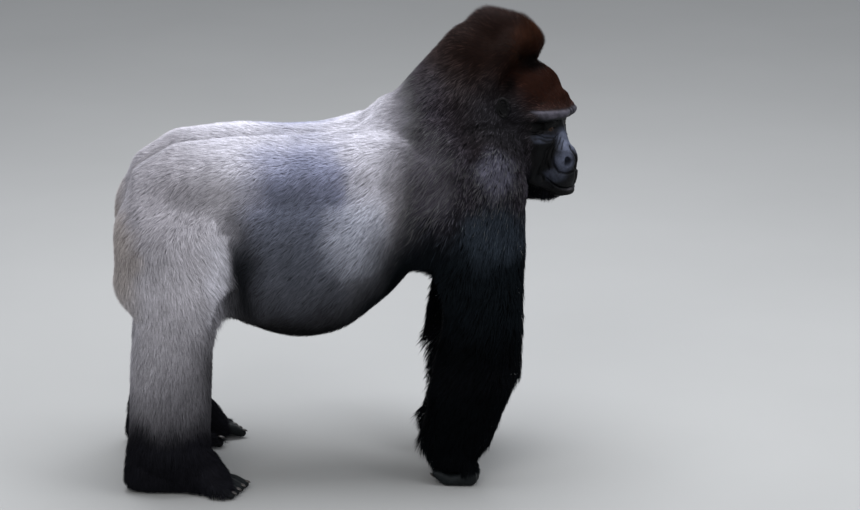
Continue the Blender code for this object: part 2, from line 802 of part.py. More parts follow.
def main():
    """Build every piece of the gorilla."""
    clear_scene()
    head = make_head()
    pieces = part_body() + make_paws() + [head]
    for side, word, _ in SIDES:
        pieces.append(object_from("eye_" + word, eyeball(side, EYE_RADIUS)))
        pieces.append(make_ear(side, word, head))
    for piece in pieces:
        word = piece.name.replace("_right", "").replace("_left", "")
        give_finish(piece, FINISH_BY_WORD[word])
        piece.data.shade_smooth()
    centre_on_floor(pieces)


main()
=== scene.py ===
"""A silverback gorilla on all fours: one skin, a coat of solid locks, eyes, ears and nails.

Metres, +Z up, +X towards the head, +Y to the animal's left. The head has axes of its own, from the
root of the nose: x forward, y to the left, z up.
"""

import logging
import math
from dataclasses import dataclass, field
from enum import Enum

import bmesh
import bpy
import numpy as np
from mathutils import Matrix, Vector
from mathutils.bvhtree import BVHTree
from mathutils.kdtree import KDTree


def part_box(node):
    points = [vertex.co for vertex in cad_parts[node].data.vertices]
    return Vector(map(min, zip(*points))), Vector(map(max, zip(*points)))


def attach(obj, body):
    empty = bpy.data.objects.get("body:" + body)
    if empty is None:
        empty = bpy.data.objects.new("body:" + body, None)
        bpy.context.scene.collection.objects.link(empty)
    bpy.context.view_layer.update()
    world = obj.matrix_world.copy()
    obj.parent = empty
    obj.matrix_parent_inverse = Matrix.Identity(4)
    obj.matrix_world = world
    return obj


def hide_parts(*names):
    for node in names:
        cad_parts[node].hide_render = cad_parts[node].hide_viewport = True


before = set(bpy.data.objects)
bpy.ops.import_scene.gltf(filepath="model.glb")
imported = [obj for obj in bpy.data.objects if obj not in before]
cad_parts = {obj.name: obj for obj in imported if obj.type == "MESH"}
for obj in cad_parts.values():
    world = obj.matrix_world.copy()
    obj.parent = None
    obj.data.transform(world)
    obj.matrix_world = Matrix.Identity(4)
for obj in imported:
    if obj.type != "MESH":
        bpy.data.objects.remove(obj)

log = logging.getLogger("gorilla")

Point = tuple[float, float, float]
Colour = tuple[float, float, float]
Joint = tuple[Point, Point]

BODY = "root"
COAT_COLOUR = "Coat"
BAKE_MAP = "OFBake"
GAP_COVER = 0.0007  # how far copied solids swell, so that the thin cuts between them close
FLOOR_GAP = 0.0002  # how far skin and coat stay off the floor's level
SIDES = (-1, 1)
SIDE_WORDS = {-1: "right", 1: "left"}


class Region(Enum):
    """The parts of the coat, each a piece of its own."""

    HEAD = "head"
    NECK = "neck"
    CHEST = "chest"
    BACK = "abdomen"
    RUMP = "pelvis"
    RIGHT_ARM = "upper_arm_right"
    LEFT_ARM = "upper_arm_left"
    RIGHT_LEG = "thigh_right"
    LEFT_LEG = "thigh_left"


# ---------------------------------------------------------------- small tools
def smooth_step(low: float, high: float, value: np.ndarray) -> np.ndarray:
    """Rise smoothly from 0 at low to 1 at high."""
    share = np.clip((value - low) / (high - low), 0.0, 1.0)
    return share * share * (3.0 - 2.0 * share)


def unit(vectors: np.ndarray) -> np.ndarray:
    """Bring each vector to length 1."""
    return vectors / np.maximum(np.linalg.norm(vectors, axis=-1, keepdims=True), 1e-9)


def ripple(points: np.ndarray, scale: float, seed: int) -> np.ndarray:
    """A smooth field that wanders between about -1 and 1.

    Args:
        points: places, one a row.
        scale: the size of its waves in metres.
        seed: which field it is.

    Returns:
        One value for each place.
    """
    chance = np.random.default_rng(seed)
    total = np.zeros(len(points))
    for _ in range(7):
        direction = unit(chance.normal(size=3))
        pitch = math.tau / (scale * chance.uniform(0.7, 1.6))
        total += np.sin(points @ direction * pitch + chance.uniform(0, math.tau))
    return total / 3.0


def new_object(name: str, data: bpy.types.ID) -> bpy.types.Object:
    """Put a mesh, lamp or camera in the scene."""
    piece = bpy.data.objects.new(name, data)
    bpy.context.scene.collection.objects.link(piece)
    return piece


def object_from(name: str, form: bmesh.types.BMesh) -> bpy.types.Object:
    """Turn a form into an object in the scene."""
    mesh = bpy.data.meshes.new(name)
    form.to_mesh(mesh)
    form.free()
    return new_object(name, mesh)


def apply_modifiers(piece: bpy.types.Object) -> None:
    """Replace a piece's mesh by what its modifiers make of it."""
    bpy.context.view_layer.update()
    evaluated = piece.evaluated_get(bpy.context.evaluated_depsgraph_get())
    mesh = bpy.data.meshes.new_from_object(evaluated)
    piece.modifiers.clear()
    old = piece.data
    piece.data = mesh
    bpy.data.meshes.remove(old)


def melt(piece: bpy.types.Object, voxel: float) -> None:
    """Have a piece's overlapping forms melt into one surface."""
    remesh = piece.modifiers.new("Melt", "REMESH")
    remesh.mode = "VOXEL"
    remesh.voxel_size = voxel


def thin_out(piece: bpy.types.Object, share: float, group: str = "") -> None:
    """Keep only a share of a piece's triangles, where its shape can spare the rest."""
    thin = piece.modifiers.new("Thin", "DECIMATE")
    thin.vertex_group = group
    thin.ratio = min(1.0, share)
    apply_modifiers(piece)


def triangle_count(piece: bpy.types.Object) -> int:
    """How many triangles a piece's faces come to."""
    return sum(len(face.vertices) - 2 for face in piece.data.polygons)


def places_of(mesh: bpy.types.Mesh) -> np.ndarray:
    """The places of a mesh's vertices, one a row."""
    places = np.empty(len(mesh.vertices) * 3, np.float32)
    mesh.vertices.foreach_get("co", places)
    return places.reshape(-1, 3).astype(float)


def normals_of(mesh: bpy.types.Mesh) -> np.ndarray:
    """The outward directions at a mesh's vertices, one a row."""
    normals = np.empty(len(mesh.vertices) * 3, np.float32)
    mesh.vertex_normals.foreach_get("vector", normals)
    return normals.reshape(-1, 3).astype(float)


def move_to(mesh: bpy.types.Mesh, places: np.ndarray) -> None:
    """Put a mesh's vertices at new places."""
    mesh.vertices.foreach_set("co", places.astype(np.float32).ravel())
    mesh.update()


def edges_of(mesh: bpy.types.Mesh) -> np.ndarray:
    """The two ends of each edge of a mesh."""
    ends = np.empty(len(mesh.edges) * 2, np.int32)
    mesh.edges.foreach_get("vertices", ends)
    return ends.reshape(-1, 2)


def store_colours(mesh: bpy.types.Mesh, colours: np.ndarray) -> None:
    """Give each vertex of a mesh its colour."""
    layer = mesh.color_attributes.new(COAT_COLOUR, "FLOAT_COLOR", "POINT")
    layer.data.foreach_set("color", colours.astype(np.float32).ravel())


def relaxed(values: np.ndarray, edges: np.ndarray, share: np.ndarray, rounds: int) -> np.ndarray:
    """Draw each vertex's values towards its neighbours' mean.

    Args:
        values: one row for each vertex.
        edges: the ends of each edge.
        share: how far each vertex goes each round, from 0 to 1.
        rounds: how many times.

    Returns:
        The relaxed values.
    """
    count = np.bincount(edges.ravel(), minlength=len(values)).astype(float)[:, None]
    for _ in range(rounds):
        total = np.zeros_like(values)
        for column in range(values.shape[1]):
            total[:, column] = np.bincount(
                edges[:, 0], weights=values[edges[:, 1], column], minlength=len(values)
            ) + np.bincount(edges[:, 1], weights=values[edges[:, 0], column], minlength=len(values))
        values = values + (total / np.maximum(count, 1) - values) * share[:, None]
    return values


def mirror(side: int) -> Matrix:
    """The matrix that brings the left side's axes to a side's own."""
    return Matrix.Diagonal((1.0, side, 1.0, 1.0))


def add_ball(form: bmesh.types.BMesh, joint: Joint, place: Matrix) -> None:
    """Add an ellipsoid, given by its centre and radii, to a form."""
    centre, radii = joint
    scale = Matrix.Diagonal((*radii, 1.0))
    matrix = place @ Matrix.Translation(centre) @ scale
    bmesh.ops.create_icosphere(form, subdivisions=4, radius=1.0, matrix=matrix)


def add_link(form: bmesh.types.BMesh, joints: tuple[Joint, ...], place: Matrix) -> None:
    """Add a tapered link with round ends through joints to a form."""
    for pair in zip(joints, joints[1:]):
        link = bmesh.new()
        for joint in pair:
            add_ball(link, joint, place)
        hull = bmesh.ops.convex_hull(link, input=link.verts[:])
        inside = set(hull["geom_interior"]) | set(hull["geom_unused"])
        spare = [item for item in inside if isinstance(item, bmesh.types.BMVert)]
        bmesh.ops.delete(link, geom=spare, context="VERTS")
        mesh = bpy.data.meshes.new("link")
        link.to_mesh(mesh)
        link.free()
        form.from_mesh(mesh)
        bpy.data.meshes.remove(mesh)


def round_joint(centre: Point, radius: float) -> Joint:
    """A joint with three equal radii."""
    return (centre, (radius, radius, radius))


# ---------------------------------------------------------------- where the head is
@dataclass(frozen=True)
class HeadAxes:
    """The head's own axes, found from where the two eyes are."""

    eye_depth: float = -0.009
    eye_height: float = -0.014

    def eye_centre(self, side: int) -> Vector:
        """The middle of one eyeball in the body's axes."""
        low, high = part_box("eye_" + SIDE_WORDS[side])
        return (low + high) / 2

    def matrix(self) -> Matrix:
        """The matrix from the head's axes to the body's."""
        right, left = (self.eye_centre(side) for side in SIDES)
        across = (left - right).normalized()
        up = Vector((0.0, 0.0, 1.0))
        forward = across.cross(up).normalized()
        turn = Matrix((forward, across, up)).transposed().to_4x4()
        origin = (left + right) / 2 - forward * self.eye_depth - up * self.eye_height
        return Matrix.Translation(origin) @ turn

    def to_head(self, points: np.ndarray) -> np.ndarray:
        """Bring places from the body's axes into the head's."""
        back = np.array(self.matrix().inverted())
        return points @ back[:3, :3].T + back[:3, 3]

    def to_body(self, points: np.ndarray) -> np.ndarray:
        """Bring places from the head's axes into the body's."""
        there = np.array(self.matrix())
        return points @ there[:3, :3].T + there[:3, 3]


HEAD = HeadAxes()


# ---------------------------------------------------------------- lines laid on the skin
def find_tree(places: np.ndarray) -> KDTree:
    """A tree that finds the nearest of a set of places."""
    tree = KDTree(len(places))
    for index, place in enumerate(places):
        tree.insert(place, index)
    tree.balance()
    return tree


def laid_line(line: list[Vector], tree: KDTree) -> np.ndarray:
    """Lay a line on the surface whose vertices a tree holds.

    Args:
        line: the line's corners.
        tree: the surface's vertices.

    Returns:
        Places along the line on the surface.
    """
    steps = []
    for start, end in zip(line, line[1:]):
        steps += [start.lerp(end, share) for share in np.linspace(0.0, 1.0, 9)[:-1]]
    steps.append(line[-1])
    laid = np.array([tree.find(step)[0] for step in steps])
    return np.vstack([laid[:1], (laid[:-2] + 2 * laid[1:-1] + laid[2:]) / 4, laid[-1:]])


def nearness(laid: np.ndarray, width: float, points: np.ndarray) -> np.ndarray:
    """How close points lie to a laid line that thins towards its ends, from 0 to 1."""
    best = np.full(len(points), 1e9)
    for index, (start, end) in enumerate(zip(laid, laid[1:])):
        run = end - start
        along = np.clip(((points - start) @ run) / max(run @ run, 1e-12), 0.0, 1.0)
        ends = (index + along) / max(len(laid) - 1, 1)
        thick = width * (0.45 + 0.55 * np.sqrt(np.clip(np.sin(math.pi * ends) * 2.5, 0.0, 1.0)))
        gap = np.linalg.norm(points - (start + along[:, None] * run), axis=1) / thick
        best = np.minimum(best, gap)
    return np.exp(-best * best)


@dataclass(frozen=True)
class Stroke:
    """A groove or ridge along a line, the same on both sides."""

    line: tuple[Point, ...]
    width: float
    height: float  # below nothing for a groove

    def rise(self, points: np.ndarray, tree: KDTree) -> np.ndarray:
        """How far the stroke lifts each point of a surface."""
        total = np.zeros(len(points))
        for side in SIDES:
            laid = laid_line([Vector((x, y * side, z)) for x, y, z in self.line], tree)
            total += self.height * nearness(laid, self.width, points)
        return total


@dataclass
class Fold:
    """A deep fold, where the skin dips, the coat is short and little light reaches; there the
    coat's colour is darkened as painted shade.
    """

    line: tuple[Point, ...]
    width: float
    depth: float
    # how much painted shade darkens the coat's colour along the fold
    dark: float
    on_head: bool = False
    laid: list[np.ndarray] = field(default_factory=list)

    def lay(self, tree: KDTree) -> None:
        """Lay the fold on the skin, on both sides."""
        self.laid.clear()
        for side in SIDES:
            line = np.array([(x, y * side, z) for x, y, z in self.line])
            if self.on_head:
                line = HEAD.to_body(line)
            self.laid.append(laid_line([Vector(point) for point in line], tree))

    def share(self, points: np.ndarray) -> np.ndarray:
        """How much each place is in the fold."""
        total = np.zeros(len(points))
        for laid in self.laid:
            total = np.maximum(total, nearness(laid, self.width, points))
        return total


# Each fold's last number is how much painted shade darkens the coat's colour there.
FOLDS = (
    # the groin
    Fold(((-0.328, 0.275, 0.740), (-0.306, 0.280, 0.690), (-0.288, 0.280, 0.600),
          (-0.290, 0.272, 0.520), (-0.304, 0.250, 0.465)), 0.017, 0.056, 0.97),
    # under the pad of the crest, down to the ear
    Fold(((-0.052, 0.0, 0.150), (-0.058, 0.045, 0.152), (-0.070, 0.080, 0.140),
          (-0.090, 0.103, 0.112), (-0.100, 0.118, 0.080)), 0.017, 0.024, 0.97, on_head=True),
    # between neck and shoulder
    Fold(((0.275, 0.210, 0.984), (0.330, 0.215, 0.982), (0.392, 0.200, 0.975),
          (0.440, 0.170, 0.955)), 0.012, 0.014, 0.92),
    # behind the shoulder and under the arm
    Fold(((0.235, 0.262, 0.720), (0.242, 0.262, 0.640), (0.240, 0.240, 0.580)), 0.014, 0.012, 0.60),
)


# ---------------------------------------------------------------- markings
@dataclass(frozen=True)
class Patch:
    """A soft-edged patch of coat, the same on both sides.

    centre and reach are along x, away from the middle plane, and up.
    """

    centre: Point
    reach: Point
    root: Colour
    tip: Colour
    fleck: float = 0.0
    strength: float = 1.0
    edge: float = 0.55
    on_head: bool = False

    def share(self, body: np.ndarray, head: np.ndarray) -> np.ndarray:
        """How much of each place the patch covers."""
        points = head if self.on_head else body
        away = np.column_stack([points[:, 0], np.abs(points[:, 1]), points[:, 2]])
        distance = np.linalg.norm((away - np.array(self.centre)) / np.array(self.reach), axis=1)
        return self.strength * (1.0 - smooth_step(self.edge, 1.0 + (1.0 - self.edge), distance))


@dataclass(frozen=True)
class Fade:
    """A change of coat along a direction, from nothing at start to all at end."""

    along: Point
    start: float
    end: float
    root: Colour
    tip: Colour
    fleck: float = 0.0
    strength: float = 1.0
    on_head: bool = False

    def share(self, body: np.ndarray, head: np.ndarray) -> np.ndarray:
        """How much of each place the change has taken."""
        points = head if self.on_head else body
        away = np.column_stack([points[:, 0], np.abs(points[:, 1]), points[:, 2]])
        value = away @ np.array(self.along)
        if self.end < self.start:
            return self.strength * smooth_step(-self.start, -self.end, -value)
        return self.strength * smooth_step(self.start, self.end, value)


# Each pair is a root colour and a tip colour; the darker roots are painted shade deep in the coat.
SILVER = ((0.440, 0.422, 0.458), (0.580, 0.558, 0.606))
PALE_SILVER = ((0.450, 0.438, 0.490), (0.560, 0.548, 0.612))
RUMP_GREY = ((0.260, 0.247, 0.272), (0.350, 0.334, 0.364))
BUTTOCK_TAN = ((0.290, 0.245, 0.215), (0.420, 0.368, 0.335))
FLANK_HAIR_AND_SHADE = ((0.062, 0.067, 0.091), (0.118, 0.128, 0.170))
SADDLE_HAIR_AND_SHADE = ((0.170, 0.182, 0.258), (0.275, 0.292, 0.415))
LOW_FLANK = ((0.045, 0.048, 0.060), (0.100, 0.107, 0.132))
GROIN_HAIR_AND_SHADE = ((0.005, 0.005, 0.007), (0.018, 0.020, 0.024))
BELLY_BLACK = ((0.004, 0.004, 0.004), (0.011, 0.011, 0.012))
SHOULDER = ((0.010, 0.0085, 0.010), (0.027, 0.024, 0.030))
SHOULDER_TOP = ((0.004, 0.003, 0.004), (0.009, 0.007, 0.008))
ARM_BLACK = ((0.0020, 0.0028, 0.0032), (0.0050, 0.0070, 0.0092))
FOREARM_BLACK = ((0.0008, 0.0008, 0.0012), (0.0015, 0.0022, 0.0030))
NECK_BROWN = ((0.0072, 0.0058, 0.0060), (0.0190, 0.0155, 0.0160))
CREST_RED = ((0.0036, 0.0018, 0.0013), (0.0125, 0.0062, 0.0047))
FOREHEAD_RED = ((0.006, 0.003, 0.002), (0.022, 0.008, 0.005))
PAINTED_SLIT_SHADOW = ((0.001, 0.001, 0.001), (0.002, 0.0015, 0.0015))
TEMPLE = ((0.0045, 0.0045, 0.0048), (0.0135, 0.0125, 0.0145))
ANKLE_BLACK = ((0.0035, 0.0035, 0.0050), (0.010, 0.010, 0.013))

MARKINGS = (
    Patch((-0.20, 0.06, 0.92), (0.42, 0.22, 0.12), *PALE_SILVER),
    Patch((-0.52, 0.16, 0.80), (0.20, 0.26, 0.17), *RUMP_GREY, strength=0.85),
    Patch((-0.575, 0.16, 0.62), (0.060, 0.13, 0.13), *BUTTOCK_TAN, strength=0.7),
    # the darker bluish flank: partly the hair's colour, partly painted shade of the muscles' forms
    Patch((-0.100, 0.26, 0.790), (0.140, 0.25, 0.150), *SADDLE_HAIR_AND_SHADE, edge=0.50, strength=0.97),
    Patch((-0.125, 0.30, 0.690), (0.150, 0.22, 0.150), *FLANK_HAIR_AND_SHADE, edge=0.40, strength=0.95),
    Patch((-0.130, 0.30, 0.560), (0.200, 0.30, 0.170), *LOW_FLANK, edge=0.45, strength=0.90),
    # the dark groin: partly black hair, partly painted shade in the fold between thigh and belly
    Patch((-0.265, 0.27, 0.570), (0.050, 0.20, 0.150), *GROIN_HAIR_AND_SHADE, edge=0.30),
    Patch((-0.10, 0.0, 0.36), (0.42, 0.38, 0.218), *BELLY_BLACK),
    # painted highlight along the edge of the shoulder blade
    Patch((0.070, 0.20, 0.830), (0.060, 0.16, 0.125), (0.480, 0.468, 0.523), (0.620, 0.606, 0.678),
          strength=0.80),
    # painted highlight along the ridge at the front of the thigh
    Patch((-0.335, 0.30, 0.600), (0.040, 0.10, 0.150), (0.540, 0.530, 0.585), (0.700, 0.688, 0.760),
          strength=0.75),
    Patch((0.045, 0.30, 0.690), (0.085, 0.20, 0.100), (0.300, 0.310, 0.362), (0.460, 0.476, 0.556),
          strength=0.85),
    Fade((1.0, 0.0, 0.0), 0.068, 0.205, *SHOULDER, fleck=0.42),
    Patch((0.37, 0.20, 0.97), (0.13, 0.20, 0.085), *SHOULDER_TOP, fleck=0.14),
    Patch((0.30, 0.20, 0.46), (0.30, 0.40, 0.30), *ARM_BLACK, edge=0.7),
    # grey-flecked hair with a painted highlight on the shoulder muscle
    Patch((0.370, 0.30, 0.865), (0.045, 0.10, 0.055), (0.042, 0.041, 0.053), (0.105, 0.102, 0.136),
          fleck=0.15, strength=0.90),
    Patch((0.215, 0.24, 0.86), (0.050, 0.10, 0.110), (0.040, 0.036, 0.045), (0.095, 0.086, 0.106),
          fleck=0.25, strength=0.7),
    Fade((0.55, 0.0, 0.84), 0.950, 1.075, *NECK_BROWN, fleck=0.42),
    Patch((0.30, 0.15, 0.25), (0.30, 0.40, 0.23), *FOREARM_BLACK, edge=0.7),
    # painted highlight: bluish sheen on the upper arm's black hair
    Patch((0.37, 0.30, 0.71), (0.08, 0.12, 0.075), (0.011, 0.014, 0.019), (0.037, 0.048, 0.064),
          strength=0.8),
    Fade((0.0, 0.0, 1.0), 0.410, 0.150, *ANKLE_BLACK),
    Patch((0.30, 0.15, 0.16), (0.30, 0.40, 0.16), *FOREARM_BLACK, edge=0.7),
)
HEAD_MARKINGS = (
    Patch((-0.17, 0.00, 0.21), (0.17, 0.15, 0.14), *CREST_RED, on_head=True, edge=0.65),
    # brighter red at the front of the crest: partly red hair, partly painted highlight
    Patch((-0.062, 0.00, 0.196), (0.042, 0.08, 0.060), (0.009, 0.0035, 0.0022),
          (0.036, 0.0140, 0.0078), on_head=True),
    Patch((-0.02, 0.00, 0.11), (0.12, 0.12, 0.09), *FOREHEAD_RED, on_head=True, edge=0.6),
    Patch((-0.10, 0.12, -0.02), (0.10, 0.07, 0.12), *TEMPLE, fleck=0.16, on_head=True),
    Patch((-0.05, 0.04, -0.17), (0.10, 0.12, 0.07), *FOREARM_BLACK, on_head=True),
    # painted shadow under the pad of the crest, down to the ear
    Patch((-0.050, 0.00, 0.145), (0.040, 0.10, 0.022), *PAINTED_SLIT_SHADOW, strength=0.9, on_head=True),
    Patch((-0.082, 0.095, 0.115), (0.022, 0.030, 0.040), *PAINTED_SLIT_SHADOW, strength=0.9, on_head=True),
)


FOLD_THINNING = 0.75  # how much thinner the coat is along a fold
WANDER_SEEDS = (11, 12, 13)
HEAD_MIDDLE = (-0.09, 0, 0.03)


@dataclass(frozen=True)
class Pigment:
    """The coat's colours at a set of places."""

    root: np.ndarray
    tip: np.ndarray
    fleck: np.ndarray

    @staticmethod
    def at(points: np.ndarray) -> "Pigment":
        """Work the markings out at places.

        Args:
            points: places in the body's axes, one a row.

        Returns:
            Root colour, tip colour and share of pale-tipped hairs at each.
        """
        head = HEAD.to_head(points)
        root = np.tile(np.array(SILVER[0]), (len(points), 1))
        tip = np.tile(np.array(SILVER[1]), (len(points), 1))
        fleck = np.zeros(len(points))
        wander = points + 0.012 * np.column_stack(
            [ripple(points, 0.09, seed) for seed in WANDER_SEEDS]
        )
        gap = np.linalg.norm(head - np.array(HEAD_MIDDLE), axis=1)
        near_head = 1.0 - smooth_step(0.20, 0.34, gap)
        for mark in MARKINGS + HEAD_MARKINGS:
            share = mark.share(wander, head)
            if mark.on_head:
                share = share * near_head
            share = share[:, None]
            root = root + (np.array(mark.root) - root) * share
            tip = tip + (np.array(mark.tip) - tip) * share
            fleck = fleck + (mark.fleck - fleck) * share[:, 0]
        # painted shade: darken the coat's colours along each fold
        for fold in FOLDS:
            light = (1.0 - fold.dark * fold.share(points))[:, None]
            root, tip, fleck = root * light, tip * light, fleck * light[:, 0]
        return Pigment(root, tip, fleck)


# ---------------------------------------------------------------- the lie of the coat
@dataclass(frozen=True)
class Comb:
    """How the coat lies round one place, the same on both sides.

    place and flow are along x, away from the middle plane, and up. Sizes are in metres.
    """

    place: Point
    flow: Point
    length: float
    depth: float
    width: float = 0.0021
    rise: float = 0.0
    reach: float = 0.07
    on_head: bool = False


COMBS = (
    # trunk
    Comb((-0.45, 0.10, 0.88), (-0.90, 0.15, -0.30), 0.024, 0.0068, width=0.0020),
    Comb((-0.25, 0.05, 0.90), (-1.00, 0.10, -0.05), 0.024, 0.0068, width=0.0020),
    Comb((-0.05, 0.05, 0.90), (-1.00, 0.10, -0.05), 0.026, 0.0068, width=0.0020),
    Comb((0.10, 0.05, 0.95), (-1.00, 0.10, -0.25), 0.029, 0.0082, width=0.0020),
    Comb((-0.30, 0.22, 0.82), (-0.85, 0.30, -0.45), 0.024, 0.0068, width=0.0020),
    Comb((-0.10, 0.25, 0.80), (-0.80, 0.20, -0.55), 0.024, 0.0068, width=0.0020),
    Comb((0.08, 0.24, 0.80), (-0.75, 0.15, -0.60), 0.029, 0.0088, width=0.0020),
    Comb((-0.20, 0.28, 0.62), (-0.75, 0.00, -0.65), 0.027, 0.0082, width=0.0020),
    Comb((0.00, 0.28, 0.62), (-0.75, 0.00, -0.65), 0.030, 0.0088, width=0.0020),
    Comb((0.14, 0.24, 0.64), (-0.70, 0.00, -0.70), 0.035, 0.0102, width=0.0020),
    Comb((-0.15, 0.15, 0.42), (-0.85, -0.20, -0.40), 0.029, 0.0082, width=0.0020),
    Comb((-0.05, 0.00, 0.38), (-1.00, 0.00, -0.10), 0.026, 0.0068, width=0.0020),
    Comb((0.15, 0.05, 0.50), (-0.90, 0.00, -0.40), 0.026, 0.0068, width=0.0020),
    Comb((0.38, 0.00, 0.66), (-0.20, 0.10, -1.00), 0.021, 0.0054, width=0.0020),
    # hind quarters
    Comb((-0.57, 0.10, 0.76), (-0.30, 0.10, -0.95), 0.026, 0.0072, width=0.0021),
    Comb((-0.48, 0.24, 0.75), (-0.55, 0.10, -0.80), 0.028, 0.0079, width=0.0021),
    Comb((-0.59, 0.15, 0.58), (0.05, 0.00, -1.00), 0.031, 0.0086, width=0.0021),
    Comb((-0.48, 0.28, 0.60), (0.20, 0.05, -1.00), 0.034, 0.0101, width=0.0021),
    Comb((-0.37, 0.29, 0.64), (0.45, 0.05, -0.85), 0.036, 0.0108, width=0.0021),
    Comb((-0.34, 0.27, 0.54), (0.50, -0.10, -0.85), 0.043, 0.0130, width=0.0021),
    Comb((-0.33, 0.20, 0.47), (0.05, 0.00, -1.00), 0.040, 0.0115, width=0.0021),
    Comb((-0.50, 0.28, 0.48), (0.15, 0.00, -1.00), 0.036, 0.0101, width=0.0021),
    Comb((-0.45, 0.09, 0.46), (0.00, -0.10, -1.00), 0.031, 0.0086, width=0.0021),
    Comb((-0.42, 0.27, 0.33), (-0.10, 0.00, -1.00), 0.033, 0.0094, width=0.0021),
    Comb((-0.55, 0.18, 0.30), (-0.12, 0.00, -1.00), 0.038, 0.0094, width=0.0021),
    Comb((-0.35, 0.18, 0.28), (0.05, 0.00, -1.00), 0.036, 0.0086, width=0.0021),
    Comb((-0.46, 0.25, 0.14), (-0.05, 0.05, -1.00), 0.040, 0.0090, width=0.0021),
    Comb((-0.38, 0.19, 0.12), (0.45, 0.00, -0.90), 0.034, 0.0080, width=0.0020),
    Comb((-0.35, 0.20, 0.08), (0.80, 0.00, -0.60), 0.024, 0.0045, width=0.0018, reach=0.035),
    Comb((-0.30, 0.20, 0.06), (0.95, 0.00, -0.25), 0.014, 0.0018, width=0.0015, reach=0.030),
    Comb((-0.53, 0.16, 0.07), (-0.30, 0.00, -0.95), 0.036, 0.0080, width=0.0020, reach=0.045),
    Comb((-0.46, 0.23, 0.05), (0.00, 0.35, -0.95), 0.028, 0.0050, width=0.0018, reach=0.035),
    Comb((-0.54, 0.19, 0.02), (-0.30, 0.20, -0.90), 0.014, 0.0020, width=0.0016, reach=0.030),
    # fore quarters
    Comb((0.22, 0.24, 0.85), (-0.60, 0.20, -0.75), 0.034, 0.011, width=0.0016),
    Comb((0.34, 0.27, 0.90), (-0.40, 0.35, -0.85), 0.030, 0.010, width=0.0015),
    Comb((0.44, 0.24, 0.80), (-0.10, 0.10, -1.00), 0.034, 0.011, width=0.0016),
    Comb((0.34, 0.30, 0.74), (-0.30, 0.05, -0.95), 0.038, 0.013, width=0.0017),
    Comb((0.24, 0.28, 0.66), (-0.45, 0.05, -0.90), 0.052, 0.018),
    Comb((0.34, 0.29, 0.58), (-0.25, 0.00, -1.00), 0.054, 0.018),
    Comb((0.44, 0.22, 0.60), (0.05, 0.00, -1.00), 0.048, 0.016),
    Comb((0.24, 0.22, 0.50), (-0.50, 0.00, -0.85), 0.064, 0.021),
    Comb((0.36, 0.28, 0.44), (-0.20, 0.00, -1.00), 0.062, 0.021),
    Comb((0.33, 0.28, 0.36), (-0.55, 0.10, -0.85), 0.066, 0.022),
    Comb((0.23, 0.20, 0.34), (-0.60, 0.00, -0.80), 0.072, 0.023),
    Comb((0.43, 0.20, 0.34), (0.05, 0.00, -1.00), 0.054, 0.018),
    Comb((0.35, 0.12, 0.42), (-0.20, -0.10, -1.00), 0.044, 0.014),
    Comb((0.28, 0.20, 0.22), (-0.40, 0.05, -0.90), 0.062, 0.020),
    Comb((0.20, 0.15, 0.18), (-0.50, 0.00, -0.90), 0.062, 0.020),
    Comb((0.37, 0.16, 0.18), (0.00, 0.00, -1.00), 0.040, 0.012),
    Comb((0.26, 0.18, 0.11), (-0.15, 0.05, -1.00), 0.044, 0.011, reach=0.05),
    Comb((0.28, 0.18, 0.06), (0.00, 0.05, -1.00), 0.026, 0.004, width=0.0018, reach=0.035),
    Comb((0.31, 0.14, 0.03), (0.20, 0.00, -1.00), 0.014, 0.002, width=0.0015, reach=0.030),
    # neck
    Comb((0.16, 0.05, 1.00), (-0.85, 0.05, -0.55), 0.028, 0.0104, width=0.0016),
    Comb((0.24, 0.04, 1.10), (-0.75, 0.00, -0.60), 0.028, 0.0112, width=0.0016),
    Comb((0.24, 0.15, 0.98), (-0.60, 0.25, -0.75), 0.028, 0.0104, width=0.0016),
    Comb((0.34, 0.16, 0.98), (-0.45, 0.25, -0.85), 0.025, 0.0096, width=0.0016),
    Comb((0.40, 0.05, 0.80), (-0.20, 0.00, -1.00), 0.023, 0.0080, width=0.0016),
    # head
    Comb((-0.22, 0.04, 0.20), (-0.85, 0.10, -0.05), 0.022, 0.009, width=0.0012, rise=0.45,
         on_head=True, reach=0.05),
    Comb((-0.17, 0.03, 0.28), (-0.70, 0.05, 0.25), 0.020, 0.010, width=0.0011, rise=0.85,
         on_head=True, reach=0.045),
    Comb((-0.08, 0.03, 0.26), (-0.35, 0.05, 0.60), 0.018, 0.009, width=0.0011, rise=0.80,
         on_head=True, reach=0.04),
    Comb((-0.06, 0.03, 0.19), (0.05, 0.15, 0.95), 0.016, 0.007, width=0.0011, rise=0.50,
         on_head=True, reach=0.03),
    Comb((-0.13, 0.10, 0.15), (-0.60, 0.20, -0.55), 0.022, 0.008, width=0.0012, rise=0.15,
         on_head=True, reach=0.04),
    Comb((-0.02, 0.03, 0.13), (-0.50, 0.25, 0.75), 0.014, 0.0035, width=0.0013, on_head=True,
         reach=0.035),
    Comb((0.01, 0.05, 0.07), (-0.45, 0.30, 0.80), 0.010, 0.0018, width=0.0012, on_head=True,
         reach=0.03),
    Comb((-0.07, 0.10, 0.11), (-0.75, 0.10, 0.10), 0.020, 0.006, width=0.0012, on_head=True,
         reach=0.04),
    Comb((-0.06, 0.10, 0.03), (-0.80, 0.10, -0.30), 0.018, 0.005, width=0.0012, on_head=True,
         reach=0.04),
    Comb((-0.07, 0.11, -0.06), (-0.60, 0.10, -0.75), 0.022, 0.007, width=0.0013, on_head=True,
         reach=0.04),
    Comb((-0.06, 0.08, -0.13), (-0.50, 0.00, -0.85), 0.020, 0.006, width=0.0012, on_head=True,
         reach=0.04),
    Comb((-0.03, 0.03, -0.19), (-0.35, 0.00, -0.95), 0.027, 0.007, width=0.0015, rise=0.40,
         on_head=True, reach=0.032),
    Comb((-0.07, 0.02, -0.21), (-0.50, 0.00, -0.90), 0.032, 0.008, width=0.0016, rise=0.45,
         on_head=True, reach=0.035),
)


